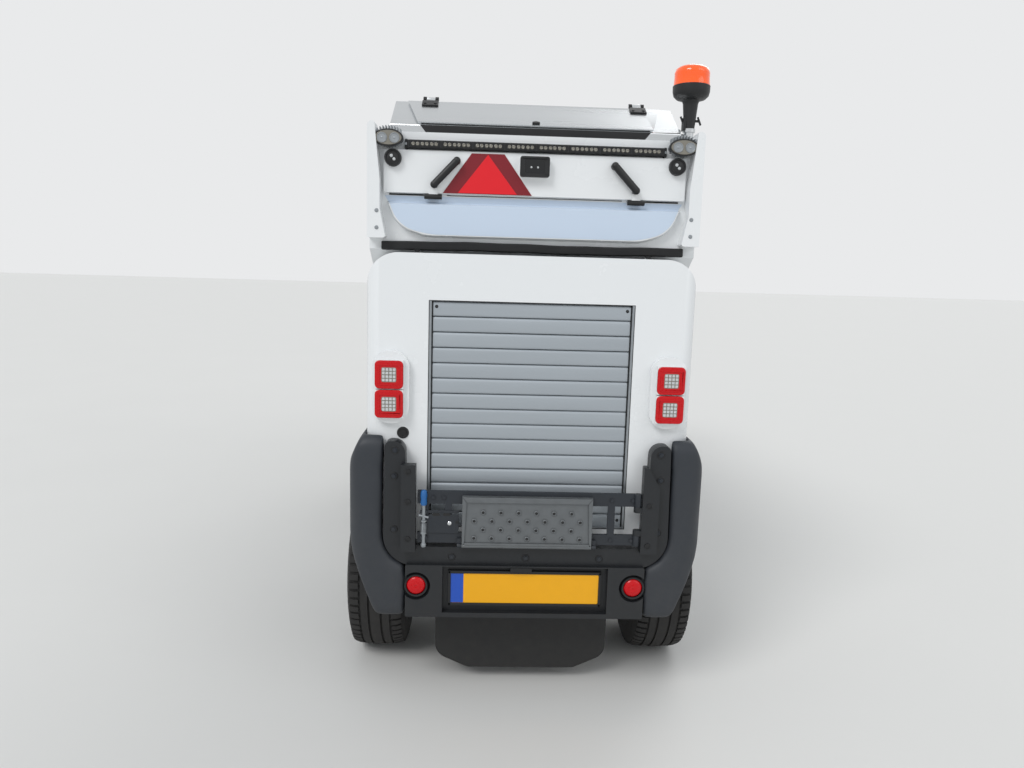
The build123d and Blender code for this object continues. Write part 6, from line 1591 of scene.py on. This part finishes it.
class SWEEPER_OT_brushes(bpy.types.Operator):
    """Disc brushes with rings of splayed bristle tufts, their motors' fittings, and the nozzle's skirt"""

    bl_idname = "sweeper.brushes"
    bl_label = "Brushes"

    def execute(self, context):
        sizes = context.scene.sweeper_sizes
        chance = random.Random(7)
        for side, name in NAMED_SIDES:
            middle = Vector((side * abs(BRUSH_CENTRE.x), BRUSH_CENTRE.y, 0))

            with piece(f"bristles_{name}", f"brush_{name}", "bristle", smooth=80) as bm:
                rows = sizes.bristle_rows
                for ring in range(rows):
                    root_reach, tip_reach = 0.164 - 0.016 * (rows - 1 - ring), 0.337 - 0.016 * (rows - 1 - ring)
                    for place in range(sizes.bristle_tufts):
                        angle = 2 * pi * (place + (ring + 1 - rows) / rows) / sizes.bristle_tufts
                        for _ in range(11):
                            aside = chance.uniform(-1, 1)
                            spread = angle + 0.062 * aside
                            reach = tip_reach - 0.014 * aside**2 + chance.uniform(-0.012, 0.001)
                            root_x = root_reach * cos(angle) + chance.uniform(-0.006, 0.006)
                            root_y = root_reach * sin(angle) + chance.uniform(-0.006, 0.006)
                            bend_z = 0.128 + chance.uniform(-0.006, 0.008)
                            tip_z = 0.0415 + chance.uniform(0, 0.008)
                            root = middle + Vector((root_x, root_y, 0.218))
                            bend = middle + Vector((reach * 0.755 * cos(spread), reach * 0.755 * sin(spread), bend_z))
                            tip = middle + Vector((reach * cos(spread), reach * sin(spread), tip_z))
                            rod(bm, root, bend, 0.0021, 3, 0.0019)
                            rod(bm, bend, tip, 0.0019, 3, 0.0012)

            brush = f"brush_{name}"
            with piece(
                f"brush_disc_{name}", brush, "rack", bevel=0.001, segments=1, slot="dark_paint", replaces=brush
            ) as bm:
                disc = (
                    (0.0125, 0.216), (0.0125, 0.252), (0.034, 0.253), (0.04, 0.247), (0.052, 0.243), (0.066, 0.2405),
                    (0.15, 0.2385), (0.166, 0.236), (0.1735, 0.228), (0.1735, 0.216), (0.15, 0.2125), (0.11, 0.212),
                )
                lathe(bm, disc, middle, Z, 64)
                for angle in round_angles(8):
                    spot = middle + Vector((0.128 * cos(angle), 0.128 * sin(angle), 0.238))
                    rod(bm, spot, spot + Z * 0.006, 0.0085, 6)

            with piece(f"brush_motor_fittings_{name}", f"lift_arm_{name}", "zinc", bevel=0.0008, segments=1) as bm:
                low = 0.262
                band = (0.056, 0), (0.06, 0.001), (0.06, 0.007), (0.056, 0.008)
                for level in (low + 0.006, low + 0.1):
                    lathe(bm, band, middle + Z * level, Z, 40)
                for angle in round_angles(6):
                    spot = middle + Vector((0.044 * cos(angle), 0.044 * sin(angle), 0.38))
                    rod(bm, spot, spot + Z * 0.006, 0.0065, 6)
                for shift in (-0.022, 0.022):
                    rod(bm, middle + Vector((shift, 0, 0.379)), middle + Vector((shift, 0, 0.396)), 0.01, 16)

        front = FRONT_AXLE - 0.64

        with piece("nozzle_skirt", "chassis", "rubber", bevel=0.0015) as bm:
            slab(bm, (0, front - 0.003, 0.058), (0.83, 0.006, 0.06))
            slab(bm, (0, FRONT_AXLE - 0.42 + 0.003, 0.055), (0.83, 0.006, 0.054))
            for side in SIDES:
                slab(bm, (side * 0.4235, FRONT_AXLE - 0.53, 0.06), (0.006, 0.22, 0.064))

        with piece("nozzle_strips", "chassis", "zinc", bevel=0.0008, segments=1) as bm:
            slab(bm, (0, front - 0.0075, 0.086), (0.82, 0.003, 0.022))
            for place in range(9):
                x = (place - 4) * 0.094
                rod(bm, (x, front - 0.008, 0.086), (x, front - 0.014, 0.086), 0.0075, 6)
            for side in SIDES:
                for y in (FRONT_AXLE - 0.6, FRONT_AXLE - 0.46):
                    slab(bm, (side * 0.33, y, 0.176), (0.05, 0.03, 0.012))
                    torus(bm, (side * 0.33, y, 0.19), X, 0.011, 0.0035, 20, 8)
        return {"FINISHED"}


# Body sides


class SWEEPER_OT_hopper_sides(bpy.types.Operator):
    """Pressed ribs, hatches, lifting eyes, side markers and rain strips of the hopper"""

    bl_idname = "sweeper.hopper_sides"
    bl_label = "Hopper sides"

    def execute(self, context):
        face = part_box("hopper")[1][0]

        with piece("hopper_ribs", "hopper", "paint", bevel=0.0035, segments=3) as bm:
            for side in SIDES:
                for y, foot in ((0.3, 1.07), (0.6, 1.07), (0.9, 1.07), (1.2, 1.215), (1.5, 1.405)):
                    outline = [(side * face, y + across, z) for across, z in
                               ((-0.024, foot + 0.02), (0.024, foot + 0.035), (0.024, 1.925), (-0.024, 1.925))]
                    sheet_plate(bm, outline, side * 0.005, X)
            for y in (0.35, 0.6, 0.85):
                slab(bm, (0, y, 1.9915), (0.94, 0.046, 0.008))

        with piece("hopper_hatches", "hopper", "paint", bevel=0.002) as bm:
            for side in SIDES:
                outline = rounded(0.75, 1.56, 0.23, 0.3, 0.03)
                sheet_plate(bm, at_x(side * (face - 0.0005), outline), side * 0.006, X)

        with piece("hopper_hatch_fittings", "hopper", "black", bevel=0.0012) as bm:
            for side in SIDES:
                outline = rounded(0.75, 1.56, 0.24, 0.31, 0.034)
                sheet_plate(bm, at_x(side * (face - 0.0005), outline), side * 0.0028, X)
                for z in (1.47, 1.65):
                    slab(bm, (side * (face + 0.008), 0.652, z), (0.01, 0.03, 0.022))
                    rod(bm, (side * (face + 0.006), 0.848, z), (side * (face + 0.014), 0.848, z), 0.012, 20)
                    slab(bm, (side * (face + 0.013), 0.838, z), (0.005, 0.036, 0.012))

        with piece("lifting_eyes", "hopper", "zinc") as bm:
            for side in SIDES:
                for y in (0.13, 1.000):
                    slab(bm, (side * 0.515, y, 1.9935), (0.05, 0.05, 0.008))
                    torus(bm, (side * 0.515, y, 2.012), X, 0.016, 0.0045, 28, 10)

        with piece("hopper_side_markers", "hopper", "amber", bevel=0.002) as bm:
            for side in SIDES:
                slab(bm, (side * 0.563, 0.15, 1.03), (0.008, 0.064, 0.026))

        with piece("hopper_rain_strip", "hopper", "paint", bevel=0.002) as bm:
            for side in SIDES:
                slab(bm, (side * 0.56, 1.02, 1.9515), (0.008, 1.66, 0.008))
        return {"FINISHED"}


class SWEEPER_OT_body_sides(bpy.types.Operator):
    """Louvres of the intake section and hood, and doors, fittings and caps of the side tanks"""

    bl_idname = "sweeper.body_sides"
    bl_label = "Body sides"

    def execute(self, context):
        low, high = corners_of("intake_section")
        middle = (low + high) / 2
        depth = high.y - low.y
        outside = high.x + 0.001

        with piece("intake_louvres", "chassis", "plastic", bevel=0.0012, segments=1, slot="grey_plastic") as bm:
            for side in SIDES:
                for row in range(26):
                    blade = (side * outside, middle.y, 0.8 + row * 0.042)
                    slab(bm, blade, (0.01, depth - 0.05, 0.012), tilt(side * 0.55, "Y"))
                for across in (-1, 1):
                    upright = middle.y + across * (depth / 2 - 0.018)
                    slab(bm, (side * outside, upright, 1.325), (0.007, 0.018, 1.15))
                for z in (0.76, 1.892):
                    slab(bm, (side * outside, middle.y, z), (0.007, depth - 0.02, 0.018))

        face = corners_of("side_tanks")[1].x

        with piece("tank_doors", "chassis", "paint", bevel=0.003, segments=3) as bm:
            for side in SIDES:
                for y, length in ((0.31, 0.44), (0.82, 0.46)):
                    outline = rounded(y, 0.7, length, 0.4, 0.045)
                    sheet_plate(bm, at_x(side * (face - 0.001), outline), side * 0.007, X)

        with piece("tank_fittings", "chassis", "black", bevel=0.0015) as bm:
            for side in SIDES:
                for y in (0.31, 0.82):
                    outline = rounded(y, 0.85, 0.11, 0.036, 0.012)
                    sheet_plate(bm, at_x(side * (face + 0.005), outline), side * 0.005, X)
                    slab(bm, (side * (face + 0.011), y + 0.008, 0.85), (0.006, 0.07, 0.018))
                for y in (0.17, 0.45, 0.68, 0.96):
                    slab(bm, (side * (face + 0.005), y, 0.505), (0.012, 0.046, 0.018))
                slab(bm, (side * (face + 0.001), 0.565, 0.47), (0.006, 0.96, 0.018))

        with piece("tank_caps", "chassis", "blue", smooth=50) as bm:
            large = (0, 0.024), (0.03, 0.023), (0.036, 0.018), (0.04, 0.004), (0.048, 0.003), (0.05, 0), (0, 0)
            small = (0, 0.02), (0.024, 0.019), (0.028, 0.004), (0.036, 0.003), (0.037, 0), (0, 0)
            lathe(bm, large, (face + 0.002, 0.12, 0.78), X, 36)
            lathe(bm, small, (-face - 0.002, 0.12, 0.78), -X, 36)

        with piece("side_markers", "chassis", "amber", bevel=0.002) as bm:
            for side in SIDES:
                slab(bm, (side * (face + 0.001), 0.566, 0.9), (0.008, 0.072, 0.028))
                slab(bm, (side * 0.5605, 1.18, 1.01), (0.008, 0.06, 0.026))

        with piece("hood_louvres", "chassis", "black", bevel=0.001, segments=1) as bm:
            for side in SIDES:
                x = side * 0.5615
                for row in range(8):
                    slab(bm, (x, 1.665, 1.062 + row * 0.03), (0.009, 0.33, 0.011), tilt(side * 0.6, "Y"))
                for z in (1.035, 1.299):
                    slab(bm, (x, 1.665, z), (0.006, 0.362, 0.014))
                for y in (1.491, 1.839):
                    slab(bm, (x, y, 1.167), (0.006, 0.014, 0.268))

        return {"FINISHED"}


class SWEEPER_OT_under_hopper(bpy.types.Operator):
    """Inlet seal, cylinder glands and engine fittings that show when the hopper is tipped"""

    bl_idname = "sweeper.under_hopper"
    bl_label = "Under the hopper"

    def execute(self, context):
        mouth_y, mouth_z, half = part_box("intake_section")[1][1], 1.4, 0.105

        def square(bm, y, deep, inside, outside):
            middle = (inside + outside) / 2
            for side in SIDES:
                slab(bm, (0, y, mouth_z + side * middle), (2 * outside, deep, outside - inside))
                slab(bm, (side * middle, y, mouth_z), (outside - inside, deep, 2 * inside + 0.002))

        with piece("inlet_seal", "chassis", "rubber", bevel=0.005, segments=3) as bm:
            square(bm, mouth_y + 0.0065, 0.013, half + 0.002, half + 0.028)

        with piece("inlet_frame", "hopper", "zinc", bevel=0.0008, segments=1) as bm:
            square(bm, mouth_y + 0.0225, 0.003, half + 0.001, half + 0.04)

        foot = Vector((0.38, REAR_AXLE - 0.255, 0.5))
        run = Vector((0, 0.182, 0.983)).normalized()

        with piece("tip_cylinder_glands", "tip_barrels", "zinc", bevel=0.0012) as bm:
            for side in SIDES:
                low = Vector((side * foot.x, foot.y, foot.z))
                rod(bm, low + run * 0.566, low + run * 0.598, 0.0385, 40)
                rod(bm, low + run * 0.06, low + run * 0.06 - Y * 0.046, 0.0105, 16)
                rod(bm, low + run * 0.54, low + run * 0.54 - Y * 0.046, 0.0105, 16)
                rod(bm, low + run * 0.06 - Y * 0.04, low + run * 0.54 - Y * 0.04, 0.006, 14)

        low, high = corners_of("engine_block")

        with piece("engine_rocker_cover", "chassis", "shutter", bevel=0.01, segments=3) as bm:
            slab(bm, (0, high.y - 0.24, high.z + 0.036), (0.23, 0.42, 0.072))
            for place in range(6):
                slab(bm, (0, high.y - 0.4 + place * 0.064, high.z + 0.073), (0.19, 0.01, 0.008))
            slab(bm, (0.165, high.y - 0.24, high.z + 0.02), (0.06, 0.4, 0.04))

        with piece("engine_pulleys_and_filter", "chassis", "black", smooth=45) as bm:
            filter_x, filter_z = -0.25, high.z + 0.08
            rod(bm, (filter_x, high.y - 0.24, filter_z), (filter_x, high.y - 0.04, filter_z), 0.062, 40)
            rod(bm, (filter_x, high.y - 0.31, filter_z), (filter_x, high.y - 0.238, filter_z), 0.04, 32, 0.06)
            oil_cap = (0, 0.02), (0.02, 0.019), (0.026, 0.014), (0.028, 0), (0, 0)
            lathe(bm, oil_cap, (0.04, high.y - 0.11, high.z + 0.072), Z, 28)
            for x, z, radius in ((0, 0.78, 0.085), (-0.16, 0.9, 0.045), (0.15, 0.93, 0.038)):
                pulley = (
                    (0, 0.034), (radius * 0.4, 0.034), (radius * 0.5, 0.026), (radius - 0.008, 0.026),
                    (radius, 0.03), (radius, 0.024), (radius - 0.006, 0.02), (radius - 0.006, 0.012),
                    (radius, 0.008), (radius, 0), (0, 0),
                )
                lathe(bm, pulley, (x, low.y, z), -Y, 40)

        belt = []
        for x, z, radius, start, sweep in (
            # pulley's middle, the belt's radius on it, and where it comes on and how far it goes round, in radians
            (0.15, 0.93, 0.035, -0.75, 2.35),
            (-0.16, 0.9, 0.042, 1.6, 2.3),
            (0, 0.78, 0.082, 3.9, 1.63),
        ):
            for step in range(13):
                angle = start + sweep * step / 12
                belt.append(Vector((x + radius * cos(angle), low.y - 0.016, z + radius * sin(angle))))
        bead("engine_belt", [belt], 0.0048, "chassis", "rubber")
        hoses = (
            # points from the top of the engine's rear edge
            [
                (-0.25, -0.3, 0.08), (-0.235, -0.36, 0.075), (-0.17, -0.4, 0.06), (-0.1, -0.41, 0.045),
                (-0.06, -0.41, 0.01),
            ],
            [(0.165, -0.43, 0.03), (0.19, -0.5, 0.04), (0.2, -0.57, 0.02), (0.2, -0.6, -0.02)],
        )
        paths = [[Vector((x, high.y + y, high.z + z)) for x, y, z in hose] for hose in hoses]
        bead("engine_hoses", paths, 0.018, "chassis", "rubber", closed=False)
        return {"FINISHED"}


# Stage

CAMERA_PLACE = Vector((0.1593, REAR_AXLE + 0.51 + 2.5258, 1.5463))
CAMERA_YAW = -0.0375
CAMERA_PITCH = 0.1514
CAMERA_ROLL = 0.0285
CAMERA_FOCAL_PX = 760
PHOTO_WIDTH_PX = 1024
SENSOR_MM = 36


class SWEEPER_OT_stage(bpy.types.Operator):
    """Floor, soft studio light, and the camera where the photographer stood"""

    bl_idname = "sweeper.stage"
    bl_label = "Stage"

    def execute(self, context):
        scene = context.scene
        scene.view_settings.view_transform = "Standard"
        bm = bmesh.new()
        bmesh.ops.create_grid(bm, x_segments=1, y_segments=1, size=60)
        mesh = bpy.data.meshes.new("floor")
        bm.to_mesh(mesh)
        bm.free()
        floor = add_object("floor", mesh)
        material = surface(
            "pale_concrete", linear("#d9d8d5"), 0.85, patch_mm=900, spread=0.02, grain_mm=12, grain_height_mm=0.2
        )
        mesh.materials.append(material)

        camera_data = bpy.data.cameras.new("photo_camera")
        camera_data.sensor_width = SENSOR_MM
        camera_data.lens = CAMERA_FOCAL_PX / PHOTO_WIDTH_PX * SENSOR_MM
        camera_data.clip_end = 200
        camera = add_object("photo_camera", camera_data)
        forward = Vector(
            (sin(CAMERA_YAW) * cos(CAMERA_PITCH), -cos(CAMERA_YAW) * cos(CAMERA_PITCH), -sin(CAMERA_PITCH))
        )
        right = forward.cross(Z).normalized()
        up = right.cross(forward)
        level_right = right * cos(CAMERA_ROLL) + up * sin(CAMERA_ROLL)
        level_up = up * cos(CAMERA_ROLL) - right * sin(CAMERA_ROLL)
        turn = Matrix((level_right, level_up, -forward)).transposed().to_4x4()
        camera.matrix_world = Matrix.Translation(CAMERA_PLACE) @ turn
        scene.camera = camera

        for name, place, strength, spread in (
            # name, where it shines from, strength, softness in degrees
            ("key_light", (5.0, 6.0, 7.5), 1.3, 24),
            ("fill_light", (-6.0, 5.0, 5.0), 0.4, 40),
            ("front_light", (-4.0, -7.0, 6.0), 0.55, 30),
        ):
            data = bpy.data.lights.new(name, "SUN")
            data.energy = strength
            data.angle = radians(spread)
            lamp = add_object(name, data)
            lamp.location = place
            lamp.rotation_euler = (-Vector(place)).to_track_quat("-Z", "Y").to_euler()
        world = bpy.data.worlds.new("studio")
        world.use_nodes = True
        tree = world.node_tree
        tree.nodes.clear()
        # The camera, glass and gloss see a paler studio than the one that lights the machine
        ray = add_node(tree, "ShaderNodeLightPath").outputs
        inputs = {0: ray["Is Camera Ray"], 1: ray["Is Transmission Ray"]}
        through = add_node(tree, "ShaderNodeMath", inputs, operation="MAXIMUM").outputs[0]
        inputs = {0: through, 1: ray["Is Glossy Ray"]}
        seen = add_node(tree, "ShaderNodeMath", inputs, operation="MAXIMUM").outputs[0]
        soft = add_node(tree, "ShaderNodeBackground", {"Color": linear("#e6ebf0"), "Strength": 0.70})
        shown = add_node(tree, "ShaderNodeBackground", {"Color": linear("#e9eaeb"), "Strength": 1.0})
        mixed = add_node(tree, "ShaderNodeMixShader", {0: seen, 1: soft.outputs[0], 2: shown.outputs[0]})
        add_node(tree, "ShaderNodeOutputWorld", {0: mixed.outputs[0]})
        scene.world = world
        return {"FINISHED"}


OPERATORS = (
    SWEEPER_OT_finishes,
    SWEEPER_OT_tyres,
    SWEEPER_OT_shutter,
    SWEEPER_OT_tail_lamps,
    SWEEPER_OT_plate,
    SWEEPER_OT_bumper_trim,
    SWEEPER_OT_tail_door,
    SWEEPER_OT_tail_band,
    SWEEPER_OT_top_lamps,
    SWEEPER_OT_cowl,
    SWEEPER_OT_gate,
    SWEEPER_OT_gaskets,
    SWEEPER_OT_cab_front,
    SWEEPER_OT_cab_sides,
    SWEEPER_OT_seats,
    SWEEPER_OT_cockpit,
    SWEEPER_OT_brushes,
    SWEEPER_OT_hopper_sides,
    SWEEPER_OT_body_sides,
    SWEEPER_OT_under_hopper,
    SWEEPER_OT_stage,
)


class SWEEPER_PT_panel(bpy.types.Panel):
    """Lists the sizes, the colours and the operators"""

    bl_idname = "SWEEPER_PT_panel"
    bl_label = "Street sweeper"
    bl_space_type = "VIEW_3D"
    bl_region_type = "UI"
    bl_category = "Sweeper"

    def draw(self, context):
        for group in (context.scene.sweeper_sizes, context.scene.sweeper_colours):
            for name in group.__annotations__:
                self.layout.prop(group, name)
        for operator in OPERATORS:
            self.layout.operator(operator.bl_idname)


CLASSES = (SweeperColours, SweeperSizes, *OPERATORS, SWEEPER_PT_panel)


def register():
    """Registers the classes and the scene's settings."""
    for made in CLASSES:
        bpy.utils.register_class(made)
    bpy.types.Scene.sweeper_sizes = PointerProperty(type=SweeperSizes)
    bpy.types.Scene.sweeper_colours = PointerProperty(type=SweeperColours)


def unregister():
    """Takes the settings and the classes away again."""
    del bpy.types.Scene.sweeper_colours
    del bpy.types.Scene.sweeper_sizes
    for made in reversed(CLASSES):
        bpy.utils.unregister_class(made)


def main():
    """Registers the settings and builds everything in order."""
    register()
    for operator in OPERATORS:
        group, name = operator.bl_idname.split(".")
        getattr(getattr(bpy.ops, group), name)()


if __name__ == "__main__":
    main()
